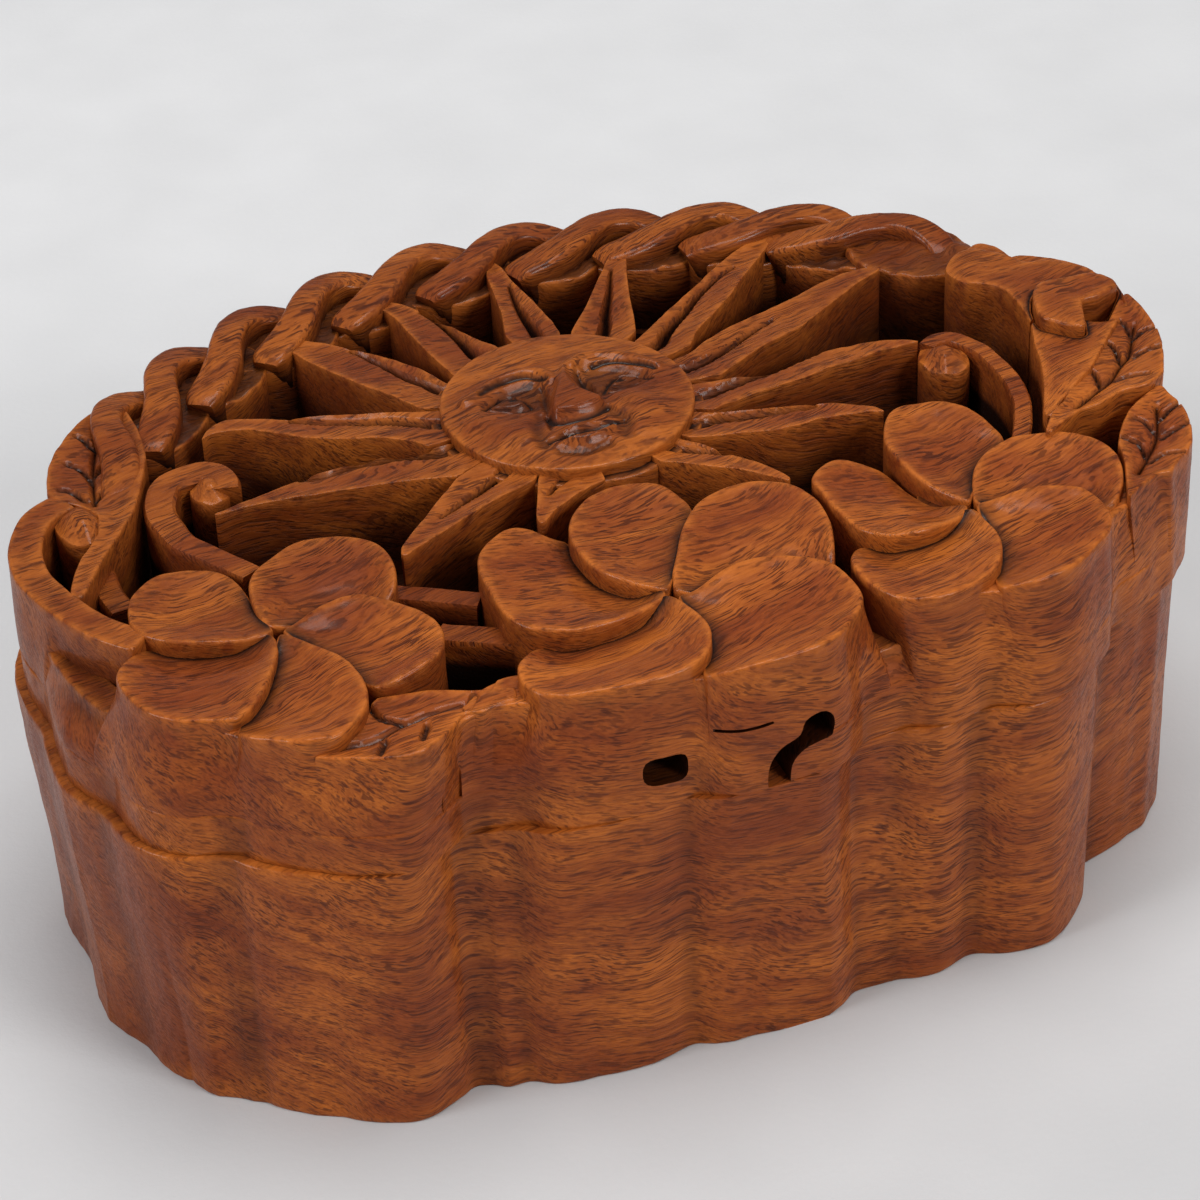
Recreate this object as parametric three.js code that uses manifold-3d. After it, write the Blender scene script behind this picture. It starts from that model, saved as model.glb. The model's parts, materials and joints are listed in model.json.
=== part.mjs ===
import * as THREE from 'three';
import { mergeVertices } from 'three/addons/utils/BufferGeometryUtils.js';
import Module from 'manifold-3d';

const wasm = await Module();
wasm.setup();

// Driving dimensions, in millimetres
const boxLength = 160;
const baseHeight = 40;
const lidHeight = 19.5;
const cutGap = 0.3;

// Wall, boards and edges
const compartmentWall = 10.5;
const boardThick = 3;
const floorThick = 4;
const boardLedge = 3;
const lidRim = 5.5;
const hoopRise = 3;
const edgeRound = 0.8;
const lidShift = 1.6;

// Turning post of the lid
const postRadius = 4;
const postReach = 12;
const collarRadius = 6;
const collarThick = 4;
const bossRadius = 8;

// Key that locks the lid
const keyProud = 3;
const pegRadius = 2.2;
const pegSeat = 8;
const socketDepth = 8;
const sawCut = 0.5;

// Carving
const petalDish = 0.9;
const petalLap = 0.12;
const petalFall = 0.05;
const petalEdge = 0.8;
const petalLipShare = 0.93;
const petalDishShare = 0.55;
const petalDishDepthShare = 0.7;
const domeShoulderShare = 0.82;
const domeShoulderDropShare = 0.33;
const domeCrownShare = 0.45;
const rayValley = 1.7;
const leafValley = 1.4;
const strandDrop = 3.2;
const discRise = 1.6;
const discDome = 1.1;
const trim = 5;

// Plan positions are hundredths of half the length
const percent = boxLength / 2 / 100;
const seam = baseHeight;
const carvedTop = seam + lidHeight;

// Tops of the carved parts, as shares of the lid's height
const topShares = {
  rope: 0.99, ropeBand: 0.8, hub: 0.85, ray: 0.9, petal: 0.93, leaf: 0.93, curl: 0.88,
  scroll: 0.93, stem: 0.76, fan: 0.87, crest: 0.97, lowerStrip: 0.6, key: 0.95, frontLeaf: 0.82,
  heart: 0.86,
};
const topOf = (part) => seam + topShares[part] * lidHeight;

// Plan outlines: centre, reach along x and y, and how square the oval is
const blockShare = 120;
const boxOvalShares = { x: 0, y: 0, halfLong: 93, halfWide: 61.5, power: 2.25 };
const boardOvalShares = { x: -6, y: 0, halfLong: 84.5, halfWide: 55, power: 2.3 };

// Rope rim: an oval arc with two strands twisted along it
const ropeShares = { x: 2, y: 0, halfLong: 88, halfWide: 66.5 };
const ropeStrands = 10;
const ropeStart = THREE.MathUtils.degToRad(141);
const ropeEnd = THREE.MathUtils.degToRad(36);
const ropeTwist = THREE.MathUtils.degToRad(27);
const strandShares = { long: 16.5, wide: 5.6 };
const bumpShares = { long: 12, wide: 9.2 };

// Sun: the disc with its face, and the rays from their roots to their tips
const sunShares = { x: -1, y: 12.5, disc: 21.5, hub: 25.5 };
const rayShares = [
  { root: [-19, 27], tip: [-41, 52], rootHalf: 5, belly: 5, tipHalf: 0.4 },
  { root: [-10.5, 31], tip: [-18.5, 56.5], rootHalf: 5, belly: 5, tipHalf: 1.6 },
  { root: [1, 33], tip: [2.5, 62], rootHalf: 5, belly: 5.6, tipHalf: 0.4 },
  { root: [12, 30], tip: [27.5, 58.5], rootHalf: 5, belly: 5, tipHalf: 0.4 },
  { root: [19, 23], tip: [54.5, 50.5], rootHalf: 5, belly: 4.6, tipHalf: 0.4 },
  { root: [20.5, 13.5], tip: [64, 31.5], rootHalf: 5, belly: 4.6, tipHalf: 0.6 },
  { root: [19, 2], tip: [61, 4.5], rootHalf: 3.8, belly: 5, tipHalf: 0.6 },
  { root: [12, -3], tip: [47, -12.5], rootHalf: 3.4, belly: 4.4, tipHalf: 0.6 },
  { root: [7, -8], tip: [22.8, -23], rootHalf: 4.4, belly: 4, tipHalf: 0.5 },
  { root: [0.5, -9], tip: [1, -17], rootHalf: 3.6, belly: 2, tipHalf: 0.5 },
  { root: [-9, -9], tip: [-18.5, -20.5], rootHalf: 5, belly: 3.2, tipHalf: 0.6 },
  { root: [-18, -4], tip: [-41.5, -19.5], rootHalf: 6, belly: 4.4, tipHalf: 0.8 },
  { root: [-22, 4], tip: [-64, 5], rootHalf: 4.8, belly: 6.4, tipHalf: 2 },
  { root: [-22, 14.5], tip: [-59, 28.5], rootHalf: 5, belly: 3.8, tipHalf: 2.2 },
];
const bellyShare = 0.5;

// Face: brow, nose, lips, chin and eyes as low swellings on the disc
const faceShares = [
  { x: -1, y: 15.5, long: 1.9, wide: 7.5, high: 1.6 },
  { x: -0.5, y: 9.5, long: 4.4, wide: 2, high: 2.2 },
  { x: -0.5, y: 4.2, long: 4.6, wide: 1.3, high: 1.3 },
  { x: -0.5, y: 2, long: 3.8, wide: 1.2, high: 1.2 },
  { x: -9.5, y: 17, long: 3.4, wide: 1.7, high: 1.1 },
  { x: 8.5, y: 17, long: 3.4, wide: 1.7, high: 1.1 },
];

// Flowers: five petals, each lapping over the next one anticlockwise
const flowerShares = [
  {
    x: -65, y: -27.5,
    petals: [
      { x: -74.8, y: -17.9, long: 11.6, wide: 9.6, turn: 123, rim: false },
      { x: -79, y: -35.4, long: 12.3, wide: 12, turn: 161, rim: true },
      { x: -67, y: -45.6, long: 14, wide: 10.4, turn: 74, rim: true },
      { x: -52.4, y: -35.6, long: 12.7, wide: 9.4, turn: 119, rim: false },
      { x: -54.8, y: -18, long: 12.4, wide: 10.1, turn: 16, rim: false },
    ],
  },
  {
    x: -6.5, y: -42.5,
    petals: [
      { x: -6.4, y: -26.1, long: 14.4, wide: 9.8, turn: 69, rim: false },
      { x: -21.9, y: -33.9, long: 16.2, wide: 10.9, turn: 108, rim: false },
      { x: -19.9, y: -54, long: 16.5, wide: 10.1, turn: 8, rim: true },
      { x: 5, y: -54.1, long: 15.3, wide: 12.5, turn: 35, rim: true },
      { x: 10.6, y: -34.3, long: 15.2, wide: 12.1, turn: 31, rim: false },
    ],
  },
  {
    x: 46.5, y: -39.5,
    petals: [
      { x: 48.6, y: -23.5, long: 13.7, wide: 9.4, turn: 73, rim: false },
      { x: 33.1, y: -33.6, long: 13.3, wide: 9, turn: 109, rim: false },
      { x: 33, y: -51.2, long: 13.6, wide: 10.2, turn: 21, rim: true },
      { x: 52, y: -52.2, long: 13.9, wide: 9.9, turn: 50, rim: true },
      { x: 60.6, y: -37, long: 13.1, wide: 10.1, turn: 170, rim: true },
    ],
  },
];

// Leaves: from root to tip, with the half width on either side of the midrib
const leafShares = [
  { top: 'leaf', root: [-85, 12], tip: [-70, 46], left: 10, right: 8.5, rootHalf: 4, tipHalf: 0.4 },
  { top: 'frontLeaf', root: [-65, -56.5], tip: [-36.5, -59], left: 6, right: 8.8, rootHalf: 7, tipHalf: 0.4 },
  { top: 'leaf', root: [71, -31], tip: [100, 5.5], left: 4.5, right: 10, rootHalf: 2.5, tipHalf: 0.4 },
  { top: 'leaf', root: [67, -47], tip: [91, -20], left: 6, right: 10, rootHalf: 5, tipHalf: 0.4 },
];

// Curls and stems: a route with its half width at either end
const ribbonShares = [
  {
    top: 'scroll', half: [2.3, 2.6],
    route: [[-86, 17.5], [-91, 17], [-95, 11], [-97.2, 2], [-96.4, -6], [-92.5, -14], [-86, -21]],
  },
  { top: 'lowerStrip', half: [1.8, 2], route: [[-97.5, 0], [-98.6, -12], [-97, -23], [-94, -31], [-88, -40]] },
  { top: 'stem', half: [3.2, 2.4], route: [[-80, 15], [-84.5, 4], [-89.5, -3], [-93.5, -10]] },
  { top: 'stem', half: [1.8, 1.8], route: [[-86.5, 0], [-87, -8], [-84, -17]] },
  {
    top: 'curl', half: [2, 1.7],
    route: [[-63.5, 17], [-68.5, 16.4], [-72, 10.5], [-73, 3], [-71, -4], [-68, -9], [-63, -18]],
  },
  { top: 'curl', half: [1.8, 1.7], route: [[61.5, 3], [66, 2.6], [69, -2], [69.4, -9], [67, -18], [61, -30]] },
  { top: 'stem', half: [1.6, 2], route: [[-50, -26], [-42, -29.5], [-36, -33.5], [-28, -36]] },
  { top: 'stem', half: [2.2, 2], route: [[-46, -39], [-39, -42.5], [-33, -46], [-24, -50]] },
  { top: 'crest', half: [4.6, 3.6], route: [[84, 19], [88.5, 19.5], [93, 17], [96.5, 12.5]] },
];

// Round ends of the curls, and the bud at the end of the rope
const knobShares = [
  { top: 'scroll', x: -86, y: 13, long: 4.4, wide: 6.4, turn: 0 },
  { top: 'curl', x: -63.4, y: 14, long: 4.4, wide: 4.6, turn: 0 },
  { top: 'curl', x: 61.6, y: 0.2, long: 3.6, wide: 4, turn: 0 },
  { top: 'crest', x: 83.6, y: 27.2, long: 5.6, wide: 4, turn: 70 },
];
const bud = knobShares.at(-1);
const heartShares = { long: 9, wide: 9, turn: 0 };
const knobDrop = 1.2;

// Smooth fan beside the key, as points on its rounded outline
const fanShares = [
  [72.6, 19], [75, 23.4], [80, 24], [86, 20], [93, 12], [94, 2], [88, -6],
  [78, -16], [66, -28], [70, -20], [74.6, -11], [77.4, -1], [77.4, 7], [74.4, 13],
];

// Extra swellings of the outer wall at its left and right ends
const wallShares = [
  { x: -83, y: -6, long: 14.6, wide: 28, turn: 0 },
  { x: 86, y: 9, long: 16, wide: 11.5, turn: -52 },
];

// Key seen from above: a bud with a notch towards the viewer
const keyShares = [
  [80, -1.5], [82.2, 6], [86, 10.5], [91, 11], [95.6, 8.8], [97.6, 4.6], [96.2, -0.4], [92.4, -5],
  [90, 1.6], [86.4, -3.2], [83, -7.4], [80.8, -5.4],
];
const keyCentreShares = { x: 86.2, y: 4 };

// Where the post stands, and the pierced slots above the seam
const postShares = { x: -73, y: -44 };
const slotShares = { left: -20.2, right: -14, low: 0.19, high: 0.4, back: -58, front: -74 };
const crookShares = { half: 1.3, route: [[9.2, 0.31], [5.8, 0.31], [3, 0.24], [1.9, 0.14], [1.9, -0.05]] };
const pocketShares = { middles: [-17.1, 5.4], wide: 12, back: -48, front: -58.5, high: 0.43 };

// Finish
const woodColour = 0x8a4a26;
const boardColour = 0x6b3418;
const woodRoughness = 0.35;

// Fineness of the curves
const roundSteps = 10;
const latheSides = 20;
const ovalPoints = 56;
const ribbonSteps = 14;
const sharpestTurn = 0.5;
const fanSteps = 40;

// Solids and cuts
function solidOf(geometry) {
  const bare = geometry.clone();
  bare.deleteAttribute('normal');
  bare.deleteAttribute('uv');
  const merged = mergeVertices(bare);
  const vertProperties = merged.attributes.position.array;
  return new wasm.Manifold(new wasm.Mesh({ numProp: 3, vertProperties, triVerts: merged.index.array }));
}

function joined(solids) {
  return solids.reduce((whole, solid) => whole.add(solid));
}

function meshOf(solid, name, color) {
  const cut = solid.getMesh();
  const geometry = new THREE.BufferGeometry();
  geometry.setAttribute('position', new THREE.BufferAttribute(cut.vertProperties, cut.numProp));
  geometry.setIndex(new THREE.BufferAttribute(cut.triVerts, 1));
  const material = new THREE.MeshStandardMaterial({ color, roughness: woodRoughness, metalness: 0 });
  const mesh = new THREE.Mesh(geometry, material);
  mesh.name = name;
  return mesh;
}

// Plan outlines
const planPoint = ([x, y]) => new THREE.Vector2(x * percent, y * percent);

function ovalShape({ x, y, halfLong, halfWide, power }, inset = 0) {
  const points = [];
  for (let step = 0; step < ovalPoints; step++) {
    const angle = (2 * Math.PI * step) / ovalPoints;
    const along = Math.sign(Math.cos(angle)) * Math.abs(Math.cos(angle)) ** (2 / power);
    const across = Math.sign(Math.sin(angle)) * Math.abs(Math.sin(angle)) ** (2 / power);
    const px = x * percent + (halfLong * percent - inset) * along;
    const py = y * percent + (halfWide * percent - inset) * across;
    points.push(new THREE.Vector2(px, py));
  }
  return new THREE.Shape(points);
}

function ellipseShape({ x, y, long, wide, turn }) {
  const reach = [long * percent, wide * percent];
  const turned = THREE.MathUtils.degToRad(turn);
  const curve = new THREE.EllipseCurve(x * percent, y * percent, ...reach, 0, 2 * Math.PI, false, turned);
  return new THREE.Shape(curve.getPoints(latheSides).slice(0, -1));
}

function circleShape({ x, y }, radius) {
  const curve = new THREE.EllipseCurve(x * percent, y * percent, radius, radius);
  return new THREE.Shape(curve.getPoints(latheSides).slice(0, -1));
}

function leafShape({ root, tip, left, right, rootHalf, tipHalf }) {
  const from = planPoint(root);
  const along = planPoint(tip).sub(from);
  const length = along.length();
  const belly = bellyShare * length;
  const shape = new THREE.Shape();
  const half = {
    root: rootHalf * percent, tip: tipHalf * percent, left: left * percent, right: right * percent,
  };
  shape.moveTo(0, -half.root);
  shape.quadraticCurveTo(belly, half.tip + half.root - 2 * half.right, length, -half.tip);
  shape.quadraticCurveTo(length + half.tip, 0, length, half.tip);
  shape.quadraticCurveTo(belly, 2 * half.left - half.root - half.tip, 0, half.root);
  shape.closePath();
  return { shape, length, turn: along.angle(), from };
}

function ribbonShape({ route, half }) {
  const curve = new THREE.SplineCurve(route.map(planPoint));
  const left = [];
  const right = [];
  for (let step = 0; step <= ribbonSteps; step++) {
    const share = step / ribbonSteps;
    const point = curve.getPoint(share);
    const side = curve.getTangent(share).rotateAround(new THREE.Vector2(), Math.PI / 2);
    const reach = THREE.MathUtils.lerp(half[0], half[1], share) * percent;
    left.push(point.clone().addScaledVector(side, reach));
    right.push(point.clone().addScaledVector(side, -reach));
  }
  return new THREE.Shape([...right, ...left.reverse()]);
}

function grownShape(pointShares, growth) {
  const points = pointShares.map(planPoint);
  const grown = points.map((point, index) => {
    const before = points[(index + points.length - 1) % points.length];
    const after = points[(index + 1) % points.length];
    const inwardA = point.clone().sub(before).normalize();
    const inwardB = after.clone().sub(point).normalize();
    const turn = Math.max(1 + inwardA.dot(inwardB), sharpestTurn);
    const side = new THREE.Vector2(-inwardA.y - inwardB.y, inwardA.x + inwardB.x);
    return point.clone().addScaledVector(side, growth / turn);
  });
  return new THREE.Shape(grown);
}

// Upright prisms
function prism(shape, bottom, top) {
  const geometry = new THREE.ExtrudeGeometry(shape, {
    depth: top - bottom, bevelEnabled: false, curveSegments: roundSteps,
  });
  return geometry.translate(0, 0, bottom);
}

function roundedPrism(shape, bottom, top, round) {
  const geometry = new THREE.ExtrudeGeometry(shape, {
    depth: top - bottom - 2 * round, bevelThickness: round, bevelSize: round, bevelOffset: -round,
    bevelSegments: 1, curveSegments: roundSteps,
  });
  return geometry.translate(0, 0, bottom + round);
}

function standing({ shape, turn, from }, bottom, top) {
  return prism(shape, bottom, top).rotateZ(turn).translate(from.x, from.y, 0);
}

function raise(geometry, floor, heightAt) {
  const position = geometry.attributes.position;
  for (let index = 0; index < position.count; index++) {
    if (position.getZ(index) > floor) {
      const extra = heightAt(position.getX(index), position.getY(index));
      position.setZ(index, position.getZ(index) + extra);
    }
  }
  return geometry;
}

function turnedOval(profile, { x, y, long, wide, turn = 0 }) {
  const outline = profile.map(([radius, height]) => new THREE.Vector2(radius, height));
  const geometry = new THREE.LatheGeometry(outline, latheSides);
  geometry.rotateX(Math.PI / 2);
  geometry.scale(long * percent, wide * percent, 1);
  geometry.rotateZ(THREE.MathUtils.degToRad(turn));
  return geometry.translate(x * percent, y * percent, 0);
}

function domeProfile(bottom, top, drop) {
  const shoulder = [domeShoulderShare, top - drop * domeShoulderDropShare];
  return [[0, bottom], [1, bottom], [1, top - drop], shoulder, [domeCrownShare, top], [0, top]];
}

// Carved parts of the lid
function petal(flower, petalShare) {
  const { x, y, long, wide, turn } = petalShare;
  const top = topOf('petal');
  const foot = seam - trim;
  const profile = [
    [0, foot], [1, foot], [1, top - petalEdge], [petalLipShare, top],
    [petalDishShare, top - petalDish * petalDishDepthShare], [0, top - petalDish],
  ];
  const away = planPoint([x - flower.x, y - flower.y]).normalize();
  const side = new THREE.Vector2(-away.y, away.x);
  const middle = planPoint([x, y]);
  const geometry = turnedOval(profile, { x, y, long, wide, turn });
  return raise(geometry, seam, (px, py) => {
    const from = new THREE.Vector2(px, py).sub(middle);
    return petalLap * from.dot(side) - petalFall * from.dot(away);
  });
}

function creased(leaf, top, valley) {
  const outline = leafShape(leaf);
  const half = Math.max(leaf.left, leaf.right) * percent;
  const reach = half + trim;
  const rim = top + (valley * trim) / half;
  const section = new THREE.Shape();
  section.moveTo(-reach, seam - trim);
  section.lineTo(reach, seam - trim);
  section.lineTo(reach, rim);
  section.lineTo(0, top - valley);
  section.lineTo(-reach, rim);
  section.closePath();
  const bar = new THREE.ExtrudeGeometry(section, { depth: outline.length + 2 * trim, bevelEnabled: false });
  const across = new THREE.Vector3(0, 1, 0);
  const up = new THREE.Vector3(0, 0, 1);
  const forward = new THREE.Vector3(1, 0, 0);
  bar.translate(0, 0, -trim).applyMatrix4(new THREE.Matrix4().makeBasis(across, up, forward));
  bar.rotateZ(outline.turn).translate(outline.from.x, outline.from.y, 0);
  return solidOf(standing(outline, seam - trim / 2, carvedTop + trim)).intersect(solidOf(bar));
}

function rays() {
  const both = ({ belly }) => ({ left: belly, right: belly });
  return rayShares.map((ray) => creased({ ...ray, ...both(ray) }, topOf('ray'), rayValley));
}

function leaves() {
  return leafShares.map((leaf) => creased(leaf, topOf(leaf.top), leafValley));
}

function flowers() {
  return flowerShares.flatMap((flower) => {
    const { x, y } = flower;
    const heart = prism(ellipseShape({ x, y, ...heartShares }), seam - trim, topOf('heart'));
    return [heart, ...flower.petals.map((share) => petal(flower, share))].map(solidOf);
  });
}

function curls() {
  const strips = ribbonShares.map((ribbon) =>
    solidOf(prism(ribbonShape(ribbon), seam - trim, topOf(ribbon.top))));
  const knobs = knobShares.map((knob) =>
    solidOf(turnedOval(domeProfile(seam - trim, topOf(knob.top) + knobDrop / 2, knobDrop), knob)));
  return [...strips, ...knobs];
}

function ropePlaces(twist, reach) {
  const { x, y, halfLong, halfWide } = ropeShares;
  return Array.from({ length: ropeStrands }, (_, index) => {
    const angle = THREE.MathUtils.lerp(ropeStart, ropeEnd, index / (ropeStrands - 1));
    const along = Math.atan2(-halfWide * Math.cos(angle), halfLong * Math.sin(angle));
    const place = { x: x + halfLong * Math.cos(angle), y: y + halfWide * Math.sin(angle) };
    return { ...place, ...reach, turn: THREE.MathUtils.radToDeg(along + twist) };
  });
}

function rope() {
  const strand = domeProfile(seam - trim, topOf('rope'), strandDrop);
  const strands = ropePlaces(ropeTwist, strandShares).map((place) => solidOf(turnedOval(strand, place)));
  const bumps = ropePlaces(0, bumpShares).map((place) =>
    solidOf(prism(ellipseShape(place), seam - trim, topOf('ropeBand'))));
  return [...bumps, ...strands];
}

function sun() {
  const { x, y, disc, hub } = sunShares;
  const hubTop = topOf('hub');
  const discTop = hubTop + discRise;
  const hubSolid = solidOf(prism(ellipseShape({ x, y, long: hub, wide: hub, turn: 0 }), seam - trim, hubTop));
  const discShape = { x, y, long: disc, wide: disc };
  const discSolid = solidOf(turnedOval(domeProfile(hubTop - trim, discTop + discDome, discDome), discShape));
  const face = faceShares.map(({ x: px, y: py, long, wide, high }) => {
    const swelling = new THREE.SphereGeometry(1, latheSides / 2, latheSides / 4);
    swelling.scale(long * percent, wide * percent, high);
    return solidOf(swelling.translate(px * percent, py * percent, discTop + discDome / 2));
  });
  return [hubSolid, discSolid, ...face];
}

function fan() {
  const curve = new THREE.SplineCurve([...fanShares, fanShares[0]].map(planPoint));
  const shape = new THREE.Shape(curve.getPoints(fanSteps).slice(0, -1));
  return solidOf(prism(shape, seam - trim, topOf('fan')));
}

// Outer wall, the same in plan on the lid and on the base
function wallSolid(bottom, top, shift) {
  const rimPetals = flowerShares.flatMap((flower) => flower.petals.filter((share) => share.rim));
  const rounds = [...wallShares, ...rimPetals, ...ropePlaces(0, bumpShares), bud];
  const shapes = [ovalShape(boxOvalShares), ...rounds.map(ellipseShape)];
  const geometries = shapes.map((shape) => roundedPrism(shape, bottom, top, edgeRound));
  const round = edgeRound / percent;
  for (const leaf of leafShares) {
    const { rootHalf, left, right } = leaf;
    const sole = { ...leaf, rootHalf: rootHalf - round, left: left - round, right: right - round };
    geometries.push(standing(leafShape(sole), bottom, top), standing(leafShape(leaf), bottom + edgeRound, top));
  }
  return joined(geometries.map((geometry) => solidOf(geometry.translate(shift, 0, 0))));
}

function block(bottom, top) {
  const wide = 2 * blockShare * percent;
  const geometry = new THREE.BoxGeometry(wide, wide, top - bottom);
  return solidOf(geometry.translate(0, 0, (bottom + top) / 2));
}

function post(radius, bottom, top) {
  return solidOf(prism(circleShape(postShares, radius), bottom, top));
}

function peg(radius, bottom, top) {
  return solidOf(prism(circleShape(keyCentreShares, radius), bottom, top));
}

// Recess under the lid for its board, cut round the boss of the post and round the key's peg
function boardSolid(inset, bottom, top) {
  const oval = solidOf(prism(ovalShape(boardOvalShares, inset), bottom, top));
  return oval
    .subtract(post(bossRadius + inset, bottom - trim, top + trim))
    .subtract(peg(pegRadius + cutGap + inset, bottom - trim, top + trim));
}

// Slots pierced through the front of the lid, and the hollow behind them
function slotSolid() {
  const high = (share) => seam + share * lidHeight;
  const through = (shape) => {
    const depth = (slotShares.back - slotShares.front) * percent;
    const geometry = new THREE.ExtrudeGeometry(shape, { depth, bevelEnabled: false });
    return solidOf(geometry.rotateX(Math.PI / 2).translate(0, slotShares.back * percent, 0));
  };
  const square = new THREE.Shape();
  square.moveTo(slotShares.left * percent, high(slotShares.low));
  square.lineTo(slotShares.right * percent, high(slotShares.low));
  square.lineTo(slotShares.right * percent, high(slotShares.high));
  square.lineTo(slotShares.left * percent, high(slotShares.high));
  square.closePath();
  const route = crookShares.route.map(([x, share]) => [x, high(share) / percent]);
  const crook = ribbonShape({ route, half: [crookShares.half, crookShares.half] });
  const floor = seam + boardThick - cutGap;
  const roof = high(pocketShares.high);
  const deep = (pocketShares.back - pocketShares.front) * percent;
  const pockets = pocketShares.middles.map((middle) => {
    const pocket = new THREE.BoxGeometry(pocketShares.wide * percent, deep, roof - floor);
    const place = [middle * percent, pocketShares.front * percent + deep / 2, (roof + floor) / 2];
    return solidOf(pocket.translate(...place));
  });
  return joined([through(square), through(crook), ...pockets]);
}

// Pieces
function lidSolid() {
  const hoop = wallSolid(seam - trim, seam + boardThick + hoopRise, 0);
  const ring = hoop.subtract(solidOf(prism(ovalShape(boxOvalShares, lidRim), seam - 2 * trim, carvedTop)));
  const carved = joined([ring, ...flowers(), ...leaves(), ...curls(), ...rope(), ...sun(), ...rays(), fan()]);
  return carved
    .subtract(block(seam - 2 * trim, seam))
    .subtract(boardSolid(0, seam - trim, seam + boardThick))
    .subtract(solidOf(prism(grownShape(keyShares, sawCut), seam - trim, carvedTop + trim)))
    .subtract(post(postRadius + cutGap, seam - trim, seam + postReach))
    .subtract(slotSolid());
}

function keySolid() {
  const bottom = seam + keyProud;
  const body = solidOf(roundedPrism(grownShape(keyShares, 0), bottom, topOf('key') + keyProud, edgeRound));
  return body.subtract(peg(pegRadius + cutGap, bottom - trim, bottom + pegSeat));
}

function collarSolid() {
  const bottom = floorThick + cutGap;
  const disc = post(collarRadius, bottom, bottom + collarThick);
  return disc.subtract(post(postRadius + cutGap, bottom - trim, bottom + collarThick + trim));
}

function baseSolid() {
  const hollow = solidOf(prism(ovalShape(boxOvalShares, compartmentWall), -trim, seam + trim));
  const ledge = ovalShape(boxOvalShares, compartmentWall - boardLedge);
  const counterbore = floorThick + collarThick + 2 * cutGap;
  return wallSolid(0, seam + trim, -lidShift)
    .subtract(block(seam, seam + 2 * trim))
    .subtract(hollow.subtract(post(bossRadius, -2 * trim, seam + 2 * trim)))
    .subtract(solidOf(prism(ledge, -trim, floorThick)))
    .subtract(post(postRadius + cutGap, 0, seam + trim))
    .subtract(post(collarRadius + cutGap, 0, counterbore))
    .subtract(peg(pegRadius + cutGap, seam - socketDepth, seam + trim));
}

function floorSolid() {
  const outline = ovalShape(boxOvalShares, compartmentWall - boardLedge + cutGap);
  return solidOf(prism(outline, cutGap, floorThick));
}

const base = new THREE.Group();
base.add(meshOf(baseSolid(), 'base_wall', woodColour));
base.add(meshOf(floorSolid(), 'base_floor', boardColour));

const lid = new THREE.Group();
lid.add(meshOf(lidSolid(), 'lid_carving', woodColour));
lid.add(meshOf(boardSolid(cutGap, seam, seam + boardThick), 'lid_board', boardColour));
const postBottom = floorThick + cutGap;
lid.add(meshOf(post(postRadius, postBottom, seam + postReach), 'turning_post', boardColour));
lid.add(meshOf(collarSolid(), 'post_collar', boardColour));

const key = new THREE.Group();
key.add(meshOf(keySolid(), 'key_bud', woodColour));
key.add(meshOf(peg(pegRadius, seam + cutGap, seam + keyProud + pegSeat), 'key_peg', boardColour));

// Whole box, with its origin under the middle of its plan
const box = new THREE.Group();
box.name = 'puzzle_box';
box.add(base, lid, key);
const extent = new THREE.Box3().setFromObject(box);
const middle = extent.getCenter(new THREE.Vector3());
box.position.set(-middle.x, -middle.y, 0);

export default box;
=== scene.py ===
import json
import math

import bmesh
import bpy
import numpy as np
from mathutils import Matrix, Vector, geometry

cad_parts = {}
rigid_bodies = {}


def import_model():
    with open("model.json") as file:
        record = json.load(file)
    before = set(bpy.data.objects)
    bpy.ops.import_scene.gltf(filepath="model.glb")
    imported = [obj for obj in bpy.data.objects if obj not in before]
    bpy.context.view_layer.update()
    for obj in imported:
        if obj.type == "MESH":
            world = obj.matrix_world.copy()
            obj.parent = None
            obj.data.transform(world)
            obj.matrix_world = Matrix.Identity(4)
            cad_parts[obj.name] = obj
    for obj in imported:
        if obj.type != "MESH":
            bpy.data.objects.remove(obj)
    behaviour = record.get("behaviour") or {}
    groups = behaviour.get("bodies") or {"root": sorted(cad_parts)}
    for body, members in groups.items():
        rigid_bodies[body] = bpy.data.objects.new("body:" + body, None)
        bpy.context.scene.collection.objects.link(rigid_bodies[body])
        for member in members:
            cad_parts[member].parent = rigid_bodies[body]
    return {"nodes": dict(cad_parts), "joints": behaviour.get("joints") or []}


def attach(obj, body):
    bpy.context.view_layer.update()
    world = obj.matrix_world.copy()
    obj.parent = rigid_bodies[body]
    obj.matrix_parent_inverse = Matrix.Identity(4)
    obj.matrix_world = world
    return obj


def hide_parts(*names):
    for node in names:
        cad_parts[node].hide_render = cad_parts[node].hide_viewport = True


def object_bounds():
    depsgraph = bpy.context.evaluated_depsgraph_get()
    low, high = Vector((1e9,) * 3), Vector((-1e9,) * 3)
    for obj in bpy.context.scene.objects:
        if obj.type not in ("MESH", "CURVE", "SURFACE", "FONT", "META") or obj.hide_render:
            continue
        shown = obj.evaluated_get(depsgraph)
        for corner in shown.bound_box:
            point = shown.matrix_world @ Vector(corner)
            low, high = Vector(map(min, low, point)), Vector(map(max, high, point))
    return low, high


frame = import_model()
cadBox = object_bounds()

for leftOver in [o for o in bpy.data.objects if o.name in ("Cube", "Light", "Camera")]:
    bpy.data.objects.remove(leftOver)

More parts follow.
